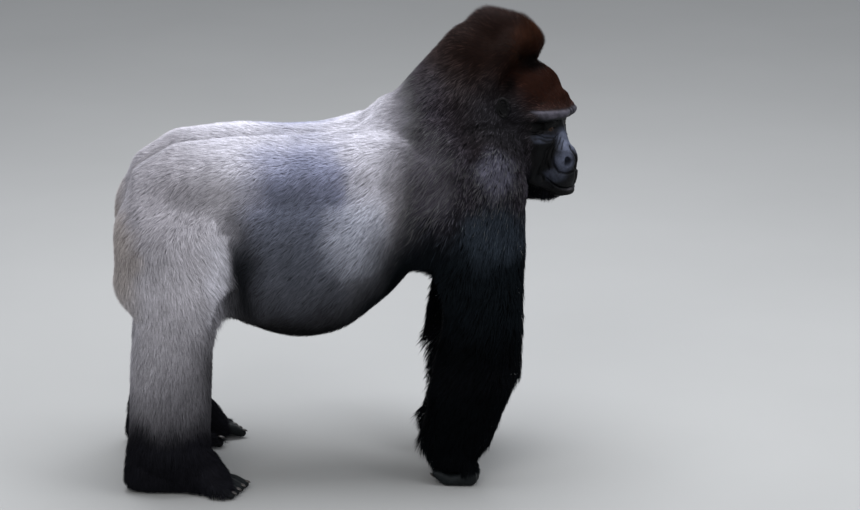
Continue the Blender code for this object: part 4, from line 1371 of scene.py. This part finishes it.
    @staticmethod
    def shares(corner: np.ndarray, place: Vector) -> tuple[float, float]:
        """The second and third barycentric shares of a place in a triangle."""
        one = corner[1] - corner[0]
        two = corner[2] - corner[0]
        off = np.array(place) - corner[0]
        a, b, c = one @ one, one @ two, two @ two
        d, e = off @ one, off @ two
        spread = max(a * c - b * b, 1e-18)
        return (c * d - b * e) / spread, (a * e - b * d) / spread


# ---------------------------------------------------------------- paws
@dataclass(frozen=True)
class PawStand:
    """Where a hand or foot stands, with its own X towards its fingers and Y outwards."""

    place: Point
    turn: float
    side: int

    def matrix(self) -> Matrix:
        """The matrix from the paw's axes to the body's."""
        x, y, z = self.place
        stand = Matrix.Translation((x, y * self.side, z))
        turned = stand @ Matrix.Rotation(self.turn * self.side, 4, "Z")
        return turned @ mirror(self.side)


FRAME_SHIFT = (0.0019, -0.0005)


def paw_stand(side: int, x: float, away: float, turn: float) -> PawStand:
    """Where a paw stands on the floor, turned outwards by so many degrees."""
    place = (x + FRAME_SHIFT[0], away + FRAME_SHIFT[1] * side, 0.0)
    return PawStand(place, math.radians(turn), side)


HAND_STANDS = {-1: paw_stand(-1, 0.275, 0.168, 8), 1: paw_stand(1, 0.276, 0.076, 8)}
FOOT_STANDS = {side: paw_stand(side, -0.540, 0.184, 7) for side in SIDES}
WRIST_PLACES = {-1: 0.002, 1: 0.029}
FINGERS = 4
FINGER_PITCH = 0.0265
FINGER_ARCH = 0.004
HAND_FORMS = (
    (((0.002, 0.0, 0.112), (0.084, 0.057, 0.042)), ((-0.008, 0.0, 0.074), (0.070, 0.056, 0.032))),
    (
        round_joint((0.000, -0.044, 0.094), 0.019),
        round_joint((0.022, -0.062, 0.066), 0.0150),
        round_joint((0.032, -0.062, 0.044), 0.0120),
    ),
)
FINGER_FORM = (
    round_joint((0.026, 0.0, 0.072), 0.0165),
    round_joint((0.044, 0.0, 0.0175), 0.0170),
    round_joint((-0.022, 0.0, 0.0135), 0.0148),
    round_joint((-0.046, 0.0, 0.034), 0.0140),
)
TOE_RADII = (0.0175, 0.0145, 0.0120)


def toe(*centres: Point) -> tuple[Joint, ...]:
    """One toe's joints from its root to its tip."""
    return tuple(round_joint(centre, radius) for centre, radius in zip(centres, TOE_RADII))


FOOT_FORMS = (
    (((0.0, 0.0, 0.032), (0.040, 0.036, 0.036)), ((0.130, -0.002, 0.064), (0.084, 0.046, 0.067))),
    (((0.130, -0.002, 0.064), (0.084, 0.046, 0.067)),
     ((0.188, 0.002, 0.032), (0.046, 0.053, 0.034))),
    (
        round_joint((0.100, -0.034, 0.026), 0.024),
        round_joint((0.165, -0.072, 0.021), 0.0190),
        round_joint((0.196, -0.083, 0.014), 0.0160),
    ),
    toe((0.196, -0.0195, 0.026), (0.240, -0.0220, 0.025), (0.268, -0.0230, 0.012)),
    toe((0.196, 0.004, 0.026), (0.233, 0.005, 0.025), (0.259, 0.005, 0.012)),
    toe((0.196, 0.027, 0.026), (0.226, 0.030, 0.025), (0.250, 0.032, 0.012)),
    toe((0.196, 0.050, 0.026), (0.219, 0.056, 0.025), (0.241, 0.059, 0.012)),
)


def finger_shift(finger: int) -> Vector:
    """How far a finger, counted from the inner side, stands from the middle of the hand."""
    middle = (FINGERS - 1) / 2
    forward = FINGER_ARCH * (1.5 - abs(finger - middle))
    return Vector((forward, (finger - middle) * FINGER_PITCH, 0.0))


def add_paws(form: bmesh.types.BMesh) -> None:
    """Add both hands and both feet, with every finger and toe, to a form."""
    for side in SIDES:
        hand = HAND_STANDS[side].matrix()
        for joints in HAND_FORMS:
            add_link(form, joints, hand)
        wrist = ((WRIST_PLACES[side], 0.004, 0.125), (0.096, 0.058, 0.045))
        add_link(form, (wrist, HAND_FORMS[0][1]), hand)
        for finger in range(FINGERS):
            add_link(form, FINGER_FORM, hand @ Matrix.Translation(finger_shift(finger)))
        foot = FOOT_STANDS[side].matrix()
        for joints in FOOT_FORMS:
            add_link(form, joints, foot)
        shin = ((0.074, 0.0, 0.120), (0.106, 0.072, 0.060))
        add_link(form, (shin, FOOT_FORMS[0][1]), foot)


TOENAIL_OUT = Vector((0.55, 0.0, 0.83))
FINGERNAIL_OUT = Vector((-0.94, 0.0, -0.10))
THUMBNAIL_OUT = Vector((0.85, -0.45, 0.05))
BIG_TOENAIL_SIZE = 1.25
FINGERNAIL_SIZE = 1.05
NAIL_SINK = 0.0008


@dataclass
class Nails:
    """The nails of all fingers and toes, as thin domed plates."""

    half_length: float = 0.0072
    half_width: float = 0.0062
    thickness: float = 0.0020
    curve: float = 34.0

    def spots(self) -> list[tuple[Vector, Vector, Vector, float]]:
        """Where each nail sits: its place, outward and lengthwise directions, and size."""
        found = []
        for side in SIDES:
            foot = FOOT_STANDS[side].matrix()
            for number, joints in enumerate(FOOT_FORMS[2:]):
                (before, _), (tip, radii) = joints[-2:]
                size = BIG_TOENAIL_SIZE if number == 0 else 1.0
                found.append(
                    self.spot(foot, Vector(before), Vector(tip), radii[0], TOENAIL_OUT, size)
                )
            hand = HAND_STANDS[side].matrix()
            for finger in range(FINGERS):
                shift = finger_shift(finger)
                before, tip = (Vector(joint[0]) + shift for joint in FINGER_FORM[2:])
                radius = FINGER_FORM[-1][1][0]
                found.append(self.spot(hand, before, tip, radius, FINGERNAIL_OUT, FINGERNAIL_SIZE))
            before, tip = (Vector(joint[0]) for joint in HAND_FORMS[1][1:])
            radius = HAND_FORMS[1][-1][1][0]
            found.append(self.spot(hand, before, tip, radius, THUMBNAIL_OUT, 1.0))
        return found

    @staticmethod
    def spot(
        paw: Matrix, before: Vector, tip: Vector, radius: float, outward: Vector, size: float
    ) -> tuple[Vector, Vector, Vector, float]:
        """One nail's place and directions in the body's axes."""
        along = (tip - before).normalized()
        outward = (outward - along * outward.dot(along)).normalized()
        place = tip + outward * (radius - NAIL_SINK) + along * radius * 0.22
        turn = paw.to_3x3()
        return paw @ place, (turn @ outward).normalized(), (turn @ along).normalized(), size

    def build(self) -> bpy.types.Object:
        """Model every nail in one piece."""
        form = bmesh.new()
        for place, outward, along, size in self.spots():
            across = along.cross(outward)
            turn = Matrix((along, across, outward)).transposed().to_4x4()
            plate = bmesh.ops.create_uvsphere(form, u_segments=20, v_segments=12, radius=1.0)
            for vertex in plate["verts"]:
                x, y, z = vertex.co
                tip = 1.0 + 0.25 * max(x, 0.0) ** 2
                x, y, z = x * self.half_length * tip, y * self.half_width, z * self.thickness
                z -= self.curve * y * y + 14.0 * x * x
                vertex.co = Matrix.Translation(place) @ turn @ (Vector((x, y, z)) * size)
        bmesh.ops.recalc_face_normals(form, faces=form.faces[:])
        piece = object_from("nails", form)
        piece.data.shade_smooth()
        return piece


# ---------------------------------------------------------------- eyes
@dataclass
class Eye:
    """An eyeball with a domed cornea, looking along the face."""

    side: int
    radius: float = 0.0125
    cornea: float = 0.0009
    cornea_reach: float = 0.62
    glance: float = -0.50  # both eyes look a little to the right
    segments: int = 64
    rings: int = 48

    def build(self) -> bpy.types.Object:
        """Model the eyeball with its polar map."""
        form = bmesh.new()
        bmesh.ops.create_uvsphere(
            form, u_segments=self.segments, v_segments=self.rings, radius=1.0
        )
        layer = form.loops.layers.uv.new("Gaze")
        for face in form.faces:
            for loop in face.loops:
                polar = math.acos(max(-1.0, min(1.0, loop.vert.co.z)))
                around = math.atan2(loop.vert.co.y, loop.vert.co.x)
                loop[layer].uv = (polar / math.pi, 0.5 + 0.4 * math.cos(around))
        gaze = (HEAD.matrix().to_3x3() @ Vector((1.0, self.glance, -0.04))).normalized()
        turn = gaze.to_track_quat("Z", "Y").to_matrix().to_4x4()
        for vertex in form.verts:
            polar = math.acos(max(-1.0, min(1.0, vertex.co.z)))
            dome = max(0.0, 1.0 - (polar / self.cornea_reach) ** 2)
            vertex.co *= self.radius + self.cornea * dome
        place = Matrix.Translation(HEAD.eye_centre(self.side)) @ turn
        bmesh.ops.transform(form, matrix=place, verts=form.verts)
        piece = object_from("eyeball_" + SIDE_WORDS[self.side], form)
        piece.data.shade_smooth()
        return piece


# ---------------------------------------------------------------- ears
@dataclass
class Ear:
    """A small bare ear with a rolled rim, an inner ridge and a hollow."""

    side: int
    place: Point = (-0.095, 0.124, 0.050)
    lean: float = math.radians(-22)
    tilt: float = math.radians(-8)
    half_length: float = 0.0150
    half_height: float = 0.0245
    voxel: float = 0.0009
    triangles: int = 14_000

    def ring(
        self, share: float, start: float, end: float, out: float, radius: float
    ) -> tuple[Joint, ...]:
        """Joints along an oval parallel to the rim."""
        joints = []
        for angle in np.linspace(math.radians(start), math.radians(end), 15):
            x = self.half_length * share * math.cos(angle)
            z = self.half_height * share * math.sin(angle)
            thick = radius * (0.8 + 0.2 * math.sin(angle))
            joints.append(round_joint((x, out + 0.10 * -x, z), thick))
        return tuple(joints)

    def forms(self) -> list[tuple[Joint, ...]]:
        """The rim, the inner ridge, the tragus, the lobe and the plate behind them."""
        flap = ((0.0, -0.001, 0.0), (0.0155, 0.0032, 0.0240))
        root = ((0.003, -0.006, 0.0), (0.0105, 0.0070, 0.0170))
        lobe = ((0.002, 0.002, -0.0220), (0.0062, 0.0036, 0.0058))
        tragus = ((0.0125, 0.0050, -0.0050), (0.0034, 0.0036, 0.0058))
        fold = round_joint((0.0110, 0.0050, 0.0080), 0.0026)
        return [
            (flap, flap),
            (root, root),
            (lobe, ((-0.004, 0.002, -0.0200), (0.0050, 0.0030, 0.0050))),
            (tragus, tragus),
            self.ring(1.0, 20, 262, 0.0050, 0.0034),
            self.ring(0.62, 60, 250, 0.0040, 0.0026),
            (fold, round_joint((0.0030, 0.0030, 0.0030), 0.0020)),
        ]

    def build(self) -> bpy.types.Object:
        """Melt the forms of the ear together."""
        x, y, z = self.place
        turn = Matrix.Rotation(self.lean * self.side, 4, "Z")
        tilt = Matrix.Rotation(self.tilt, 4, "Y")
        stand = HEAD.matrix() @ Matrix.Translation((x, y * self.side, z))
        place = stand @ turn @ tilt @ mirror(self.side)
        form = bmesh.new()
        for joints in self.forms():
            add_link(form, joints, place)
        piece = object_from("ear_shell_" + SIDE_WORDS[self.side], form)
        melt(piece, self.voxel)
        smooth = piece.modifiers.new("Soften", "SMOOTH")
        smooth.factor = 0.5
        smooth.iterations = 4
        apply_modifiers(piece)
        thin_out(piece, self.triangles / (2 * len(piece.data.polygons)))
        piece.data.shade_smooth()
        return piece


# ---------------------------------------------------------------- finishes
class Sheet:
    """A material's node tree, with short ways to add and join nodes."""

    def __init__(self, name: str) -> None:
        """Start a material with its Principled surface."""
        self.material = bpy.data.materials.new(name)
        self.material.use_nodes = True
        self.tree = self.material.node_tree
        self.surface = self.tree.nodes["Principled BSDF"]

    def node(self, kind: str, **settings: object) -> bpy.types.Node:
        """Add a node with its settings."""
        node = self.tree.nodes.new(kind)
        for key, value in settings.items():
            setattr(node, key, value)
        return node

    def join(self, start: bpy.types.NodeSocket, end: bpy.types.NodeSocket) -> None:
        """Join two sockets."""
        self.tree.links.new(start, end)

    def noise(
        self, scale: float, detail: float, place: bpy.types.NodeSocket
    ) -> bpy.types.NodeSocket:
        """A noise pattern's value."""
        node = self.node("ShaderNodeTexNoise")
        node.inputs["Scale"].default_value = scale
        node.inputs["Detail"].default_value = detail
        self.join(place, node.inputs["Vector"])
        return node.outputs["Fac"]

    def cells(self, scale: float, place: bpy.types.NodeSocket) -> bpy.types.NodeSocket:
        """The distance from the edges of a pattern of cells."""
        node = self.node("ShaderNodeTexVoronoi", feature="DISTANCE_TO_EDGE")
        node.inputs["Scale"].default_value = scale
        self.join(place, node.inputs["Vector"])
        return node.outputs["Distance"]

    def ramp(
        self, value: bpy.types.NodeSocket, stops: tuple[tuple[float, Colour], ...]
    ) -> bpy.types.NodeSocket:
        """A colour for a value, blended between stops."""
        node = self.node("ShaderNodeValToRGB")
        self.join(value, node.inputs["Fac"])
        elements = node.color_ramp.elements
        for index, (place, colour) in enumerate(stops):
            stop = elements[index] if index < 2 else elements.new(place)
            stop.position = place
            stop.color = (*colour, 1.0)
        return node.outputs["Color"]

    def ranged(
        self, value: bpy.types.NodeSocket, before: tuple[float, float], after: tuple[float, float]
    ) -> bpy.types.NodeSocket:
        """Bring a value from one range to another."""
        node = self.node("ShaderNodeMapRange")
        for name, number in zip(("From Min", "From Max", "To Min", "To Max"), (*before, *after)):
            node.inputs[name].default_value = number
        self.join(value, node.inputs["Value"])
        return node.outputs["Result"]

    def multiplied(
        self, colour: bpy.types.NodeSocket, value: bpy.types.NodeSocket
    ) -> bpy.types.NodeSocket:
        """A colour made lighter or darker by a value."""
        node = self.node("ShaderNodeVectorMath", operation="SCALE")
        self.join(colour, node.inputs[0])
        self.join(value, node.inputs["Scale"])
        return node.outputs["Vector"]

    def bumped(
        self,
        height: bpy.types.NodeSocket,
        strength: float,
        distance: float,
        after: bpy.types.NodeSocket | None = None,
    ) -> bpy.types.NodeSocket:
        """A bump from a height, over another bump if there is one."""
        node = self.node("ShaderNodeBump")
        node.inputs["Strength"].default_value = strength
        node.inputs["Distance"].default_value = distance
        self.join(height, node.inputs["Height"])
        if after is not None:
            self.join(after, node.inputs["Normal"])
        return node.outputs["Normal"]

    def place(self) -> bpy.types.NodeSocket:
        """The place on the object."""
        return self.node("ShaderNodeTexCoord").outputs["Object"]

    def attribute(self, name: str) -> bpy.types.NodeSocket:
        """A colour carried by the mesh."""
        return self.node("ShaderNodeAttribute", attribute_name=name).outputs["Color"]

    def drive(self, **sockets: bpy.types.NodeSocket) -> None:
        """Join sockets to inputs of the surface, named with _ for spaces."""
        for name, socket in sockets.items():
            self.join(socket, self.surface.inputs[name.replace("_", " ")])

    def set(self, **values: float) -> None:
        """Set uniform values of the surface, named with _ for spaces."""
        for name, value in values.items():
            self.surface.inputs[name.replace("_", " ")].default_value = value


@dataclass(frozen=True)
class CoatFinish:
    """Dry hair, coloured lock by lock."""

    roughness: float = 0.60
    gloss: float = 0.02
    streak: float = 2200.0  # hairs across the unit width of the bake map

    def material(self) -> bpy.types.Material:
        """Make the hair's material."""
        sheet = Sheet("hair")
        stretch = sheet.node("ShaderNodeMapping")
        stretch.inputs["Scale"].default_value = (self.streak, self.streak * 0.12, 1.0)
        bake_map = sheet.node("ShaderNodeUVMap", uv_map=BAKE_MAP).outputs["UV"]
        sheet.join(bake_map, stretch.inputs["Vector"])
        streak = sheet.noise(1.0, 2.0, stretch.outputs["Vector"])
        shade = sheet.ranged(streak, (0.3, 0.7), (0.70, 1.30))
        colour = sheet.multiplied(sheet.attribute(COAT_COLOUR), shade)
        bump = sheet.bumped(streak, 0.35, 0.0006)
        rough = sheet.ranged(streak, (0.3, 0.7), (self.roughness - 0.06, self.roughness + 0.08))
        sheet.drive(Base_Color=colour, Normal=bump, Roughness=rough)
        sheet.set(Specular_IOR_Level=self.gloss)
        return sheet.material


@dataclass(frozen=True)
class SkinFinish:
    """Dark, creased, faintly shining skin; hair lies over the parts that have a coat."""

    name: str = "skin"
    roughness: float = 0.46
    gloss: float = 0.10
    pores: float = 620.0
    creases: float = 210.0

    def material(self) -> bpy.types.Material:
        """Make the skin's material."""
        sheet = Sheet(self.name)
        place = sheet.place()
        fine = sheet.cells(self.pores, place)
        broad = sheet.cells(self.creases, place)
        cloud = sheet.noise(70.0, 4.0, place)
        grain = sheet.noise(1400.0, 2.0, place)
        shade = sheet.ranged(cloud, (0.3, 0.7), (0.60, 1.40))
        # painted shade: darker along the fine cracks and the broad creases of the skin
        pore_crease_shade = sheet.ranged(fine, (0.0, 0.25), (0.78, 1.08))
        broad_crease_shade = sheet.ranged(broad, (0.0, 0.08), (0.72, 1.04))
        colour = sheet.multiplied(sheet.attribute(COAT_COLOUR), shade)
        colour = sheet.multiplied(sheet.multiplied(colour, pore_crease_shade), broad_crease_shade)
        bump = sheet.bumped(sheet.ranged(broad, (0.0, 0.12), (0.0, 1.0)), 0.30, 0.0010)
        bump = sheet.bumped(sheet.ranged(fine, (0.0, 0.18), (0.0, 1.0)), 0.30, 0.0005, bump)
        bump = sheet.bumped(grain, 0.20, 0.0003, bump)
        rough = sheet.ranged(cloud, (0.3, 0.7), (self.roughness - 0.08, self.roughness + 0.10))
        sheet.drive(Base_Color=colour, Normal=bump, Roughness=rough)
        sheet.set(Specular_IOR_Level=self.gloss)
        return sheet.material


@dataclass(frozen=True)
class EyeFinish:
    """A wet dark-brown eye: pupil, iris, dark ring and a brown white."""

    stops: tuple[tuple[float, Colour], ...] = (
        (0.0, (0.002, 0.002, 0.002)),
        (0.050, (0.003, 0.002, 0.002)),
        (0.062, (0.016, 0.007, 0.003)),
        (0.120, (0.024, 0.011, 0.005)),
        (0.165, (0.014, 0.006, 0.003)),
        (0.185, (0.006, 0.003, 0.003)),
        (0.225, (0.014, 0.008, 0.006)),
        (0.400, (0.022, 0.013, 0.010)),
    )

    def material(self) -> bpy.types.Material:
        """Make the eye's material."""
        sheet = Sheet("eye")
        gaze = sheet.node("ShaderNodeUVMap", uv_map="Gaze").outputs["UV"]
        split = sheet.node("ShaderNodeSeparateXYZ")
        sheet.join(gaze, split.inputs[0])
        colour = sheet.ramp(split.outputs["X"], self.stops)
        fibres = sheet.noise(900.0, 3.0, sheet.place())
        shade = sheet.ranged(fibres, (0.3, 0.7), (0.6, 1.4))
        rough = sheet.ranged(fibres, (0.3, 0.7), (0.10, 0.16))
        sheet.drive(Base_Color=sheet.multiplied(colour, shade), Roughness=rough)
        sheet.set(Coat_Weight=0.15, Coat_Roughness=0.03, Specular_IOR_Level=0.12)
        return sheet.material


@dataclass(frozen=True)
class NailFinish:
    """Grey-brown horn with fine ridges."""

    stops: tuple[tuple[float, Colour], ...] = (
        (0.0, (0.020, 0.017, 0.016)),
        (1.0, (0.075, 0.066, 0.060)),
    )

    def material(self) -> bpy.types.Material:
        """Make the nail's material."""
        sheet = Sheet("nail")
        ridges = sheet.noise(1100.0, 3.0, sheet.place())
        colour = sheet.ramp(ridges, self.stops)
        bump = sheet.bumped(ridges, 0.25, 0.0004)
        rough = sheet.ranged(ridges, (0.3, 0.7), (0.30, 0.42))
        sheet.drive(Base_Color=colour, Normal=bump, Roughness=rough)
        sheet.set(Specular_IOR_Level=0.5)
        return sheet.material


@dataclass(frozen=True)
class SkinColours:
    """The skin's colours: bare leather on face and paws with painted shade and painted highlights
    on the face, and skin under the coat darkened as painted shade.
    """

    leather: Colour = (0.0018, 0.0021, 0.0030)
    # brow, bridge, wing and lids: painted highlights of bluish sheen; the brow is also paler dusty
    # skin
    brow: Colour = (0.070, 0.065, 0.082)
    bridge_sheen: Colour = (0.125, 0.139, 0.196)
    wing: Colour = (0.063, 0.071, 0.104)
    lip: Colour = (0.160, 0.146, 0.168)
    # painted shade: near-black put under the brow, round the eyes, on the cheeks, under the chin
    # and in the nostrils
    shade: Colour = (0.0006, 0.0006, 0.0008)
    paws: Colour = (0.009, 0.011, 0.012)
    lids: Colour = (0.012, 0.012, 0.016)
    # how much painted shade darkens the bare skin in the creases of the face
    creased: float = 0.80
    # painted shade: how much darker the skin under the coat is than the coat's own colour
    shade_under_coat: float = 0.80

    @staticmethod
    def mark(centre: Point, reach: Point, colour: Colour, strength: float) -> Patch:
        """A soft patch of colour on the face."""
        return Patch(centre, reach, colour, colour, strength=strength, on_head=True)

    def dress(self, mesh: bpy.types.Mesh) -> None:
        """Store a colour at each vertex."""
        points = places_of(mesh)
        head = HEAD.to_head(points)
        near = (np.linalg.norm(head, axis=1) < 0.30)[:, None]
        bare = np.tile(np.array(self.leather), (len(points), 1))
        marks = (
            # painted shade under the brow and round the eye, on the cheek and under the chin
            self.mark((0.000, 0.040, -0.008), (0.050, 0.034, 0.030), self.shade, 0.9),
            self.mark((-0.030, 0.060, -0.085), (0.050, 0.040, 0.045), self.shade, 0.7),
            self.mark((-0.010, 0.040, -0.185), (0.060, 0.060, 0.020), self.shade, 0.8),
            # painted highlights: bluish sheen on the brow, under the eye, on the bridge and wings
            # of the nose, on the muzzle and on the lower lid
            self.mark((0.010, 0.040, 0.036), (0.070, 0.070, 0.017), self.brow, 1.0),
            self.mark((-0.018, 0.060, -0.036), (0.050, 0.040, 0.010), self.wing, 0.5),
            self.mark((0.012, 0.010, -0.058), (0.034, 0.020, 0.034), self.bridge_sheen, 1.0),
            self.mark((0.030, 0.028, -0.098), (0.026, 0.022, 0.026), self.wing, 0.9),
            self.mark((0.016, 0.046, -0.132), (0.030, 0.022, 0.016), self.wing, 0.35),
            self.mark((0.002, 0.036, -0.022), (0.030, 0.026, 0.007), self.lids, 0.7),
            # painted shade in a strip under the brow and inside the nostril
            self.mark((0.004, 0.044, 0.006), (0.040, 0.036, 0.012), self.shade, 0.95),
            self.mark((0.038, 0.026, -0.098), (0.012, 0.009, 0.011), self.shade, 1.0),
        )
        for mark in marks:
            bare += (np.array(mark.root) - bare) * (mark.share(points, head)[:, None] * near)
        inner = np.nonzero(near[:, 0])[0]
        tree = find_tree(head[inner])
        # painted shade: darken the bare skin along the grooves of the face
        crease = np.zeros(len(points))
        for stroke in FACE_STROKES[3:]:
            crease[inner] += np.maximum(-stroke.rise(head[inner], tree), 0.0) / abs(stroke.height)
        bare *= (1.0 - self.creased * np.clip(crease, 0.0, 1.0))[:, None]
        rim = np.zeros(len(points))
        for side in SIDES:
            line = np.array([(x + 0.004, y * side, z - 0.0050) for x, y, z in MOUTH_LINE[:4]])
            rim = np.maximum(rim, nearness(line, 0.0036, head))
        bare += (np.array(self.lip) - bare) * (0.9 * rim[:, None] * near)
        low = (1.0 - smooth_step(0.10, 0.14, points[:, 2]))[:, None]
        bare += (np.array(self.paws) - bare) * low
        pigment = Pigment.at(points)
        # painted shade under the coat: the skin takes darkened coat colours
        coated = (pigment.root * 0.7 + pigment.tip * 0.3) * self.shade_under_coat
        share = bare_share(points)[:, None]
        colours = np.ones((len(points), 4))
        colours[:, :3] = coated + (bare - coated) * share
        store_colours(mesh, colours)


# ---------------------------------------------------------------- studio
@dataclass
class Studio:
    """A pale floor, soft light from overhead and all round, and the camera."""

    target: Point = (0.2229, -0.0005, 0.561)
    distance: float = 9.0
    azimuth: float = math.radians(4)
    elevation: float = math.radians(17)
    lens: float = 145.0
    floor: float = 30.0
    floor_tones: tuple[tuple[float, Colour], ...] = (
        (0.0, (0.34, 0.34, 0.335)),
        (1.0, (0.37, 0.37, 0.365)),
    )

    def build(self) -> None:
        """Set the studio up."""
        self.lay_floor()
        self.light("overhead", (0.1, 0.7, 4.2), 3.6, 235.0, (0.94, 0.96, 1.0))
        self.light("front", (3.4, -2.0, 4.0), 2.2, 75.0, (0.95, 0.97, 1.0))
        self.light("side", (-1.6, -4.2, 3.8), 2.8, 88.0, (1.0, 0.99, 0.97))
        world = bpy.data.worlds.new("soft light")
        world.use_nodes = True
        background = world.node_tree.nodes["Background"]
        background.inputs["Color"].default_value = (0.90, 0.94, 1.0, 1.0)
        background.inputs["Strength"].default_value = 0.50
        bpy.context.scene.world = world
        bpy.context.scene.view_settings.view_transform = "Standard"
        self.place_camera()

    def lay_floor(self) -> None:
        """Lay the floor."""
        form = bmesh.new()
        bmesh.ops.create_grid(form, x_segments=1, y_segments=1, size=self.floor / 2)
        floor = object_from("floor", form)
        sheet = Sheet("pale floor")
        cloud = sheet.noise(1.5, 3.0, sheet.place())
        sheet.drive(Base_Color=sheet.ramp(cloud, self.floor_tones))
        sheet.set(Roughness=0.9)
        floor.data.materials.append(sheet.material)

    def light(self, name: str, place: Point, size: float, power: float, colour: Colour) -> None:
        """Hang a soft square light that faces the animal."""
        lamp = bpy.data.lights.new(name, "AREA")
        lamp.size = size
        lamp.energy = power
        lamp.color = colour
        thing = new_object(name, lamp)
        thing.location = place
        aim = Vector(self.target) - Vector(place)
        thing.rotation_euler = aim.to_track_quat("-Z", "Y").to_euler()

    def place_camera(self) -> None:
        """Set the camera up at the right side, a little above."""
        data = bpy.data.cameras.new("camera")
        data.lens = self.lens
        data.sensor_width = 36.0
        camera = new_object("camera", data)
        away = Vector((
            -math.sin(self.azimuth) * math.cos(self.elevation),
            -math.cos(self.azimuth) * math.cos(self.elevation),
            math.sin(self.elevation),
        ))
        camera.location = Vector(self.target) + away * self.distance
        camera.rotation_euler = (-away).to_track_quat("-Z", "Y").to_euler()
        bpy.context.scene.camera = camera


# ---------------------------------------------------------------- the whole animal
COATS = (
    Coat(Region.HEAD, 48_000, 101, clump=0.12, clump_size=0.006),
    Coat(Region.NECK, 42_000, 102, clump=0.12, clump_size=0.006),
    Coat(Region.CHEST, 36_000, 103),
    Coat(Region.BACK, 46_000, 104),
    Coat(Region.RUMP, 42_000, 105),
    Coat(Region.RIGHT_ARM, 28_000, 106, bent=True, clump=0.35, clump_size=0.016),
    Coat(Region.LEFT_ARM, 28_000, 107, bent=True, clump=0.35, clump_size=0.016),
    Coat(Region.RIGHT_LEG, 38_000, 108),
    Coat(Region.LEFT_LEG, 38_000, 109),
)


@dataclass
class Gorilla:
    """The whole animal, built and dressed piece by piece."""

    def build(self) -> None:
        """Build the skin, then all that sits on it."""
        skin = Skin()
        body = skin.build()
        SkinColours().dress(body.data)
        leather = SkinFinish().material()
        self.finish(body, leather, "chest", Skin.flesh())
        hair = CoatFinish().material()
        bed = RootBed(body)
        for coat in COATS:
            piece = coat.build(bed)
            self.finish(piece, hair, coat.region.value, [])
        eye_finish = EyeFinish().material()
        for side in SIDES:
            word = SIDE_WORDS[side]
            self.finish(Eye(side).build(), eye_finish, "eye_" + word, ["eye_" + word])
            ear = Ear(side).build()
            SkinColours(leather=(0.0035, 0.0035, 0.0040)).dress(ear.data)
            self.finish(ear, leather, "ear_" + word, ["ear_" + word])
        self.finish(Nails().build(), NailFinish().material(), "hand_right", [])

    @staticmethod
    def finish(
        piece: bpy.types.Object, material: bpy.types.Material, slot: str, nodes: list[str]
    ) -> None:
        """Give a piece its material and tie it to the body."""
        piece.data.materials.append(material)
        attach(piece, BODY)
        if nodes:
            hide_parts(*nodes)
        log.info("%s: %d triangles", piece.name, triangle_count(piece))


def main() -> None:
    """Build the animal in its studio; each piece's triangle count is logged."""
    logging.basicConfig(level=logging.INFO, format="%(message)s")
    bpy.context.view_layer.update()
    Studio().build()
    Gorilla().build()


if __name__ == "__main__":
    main()
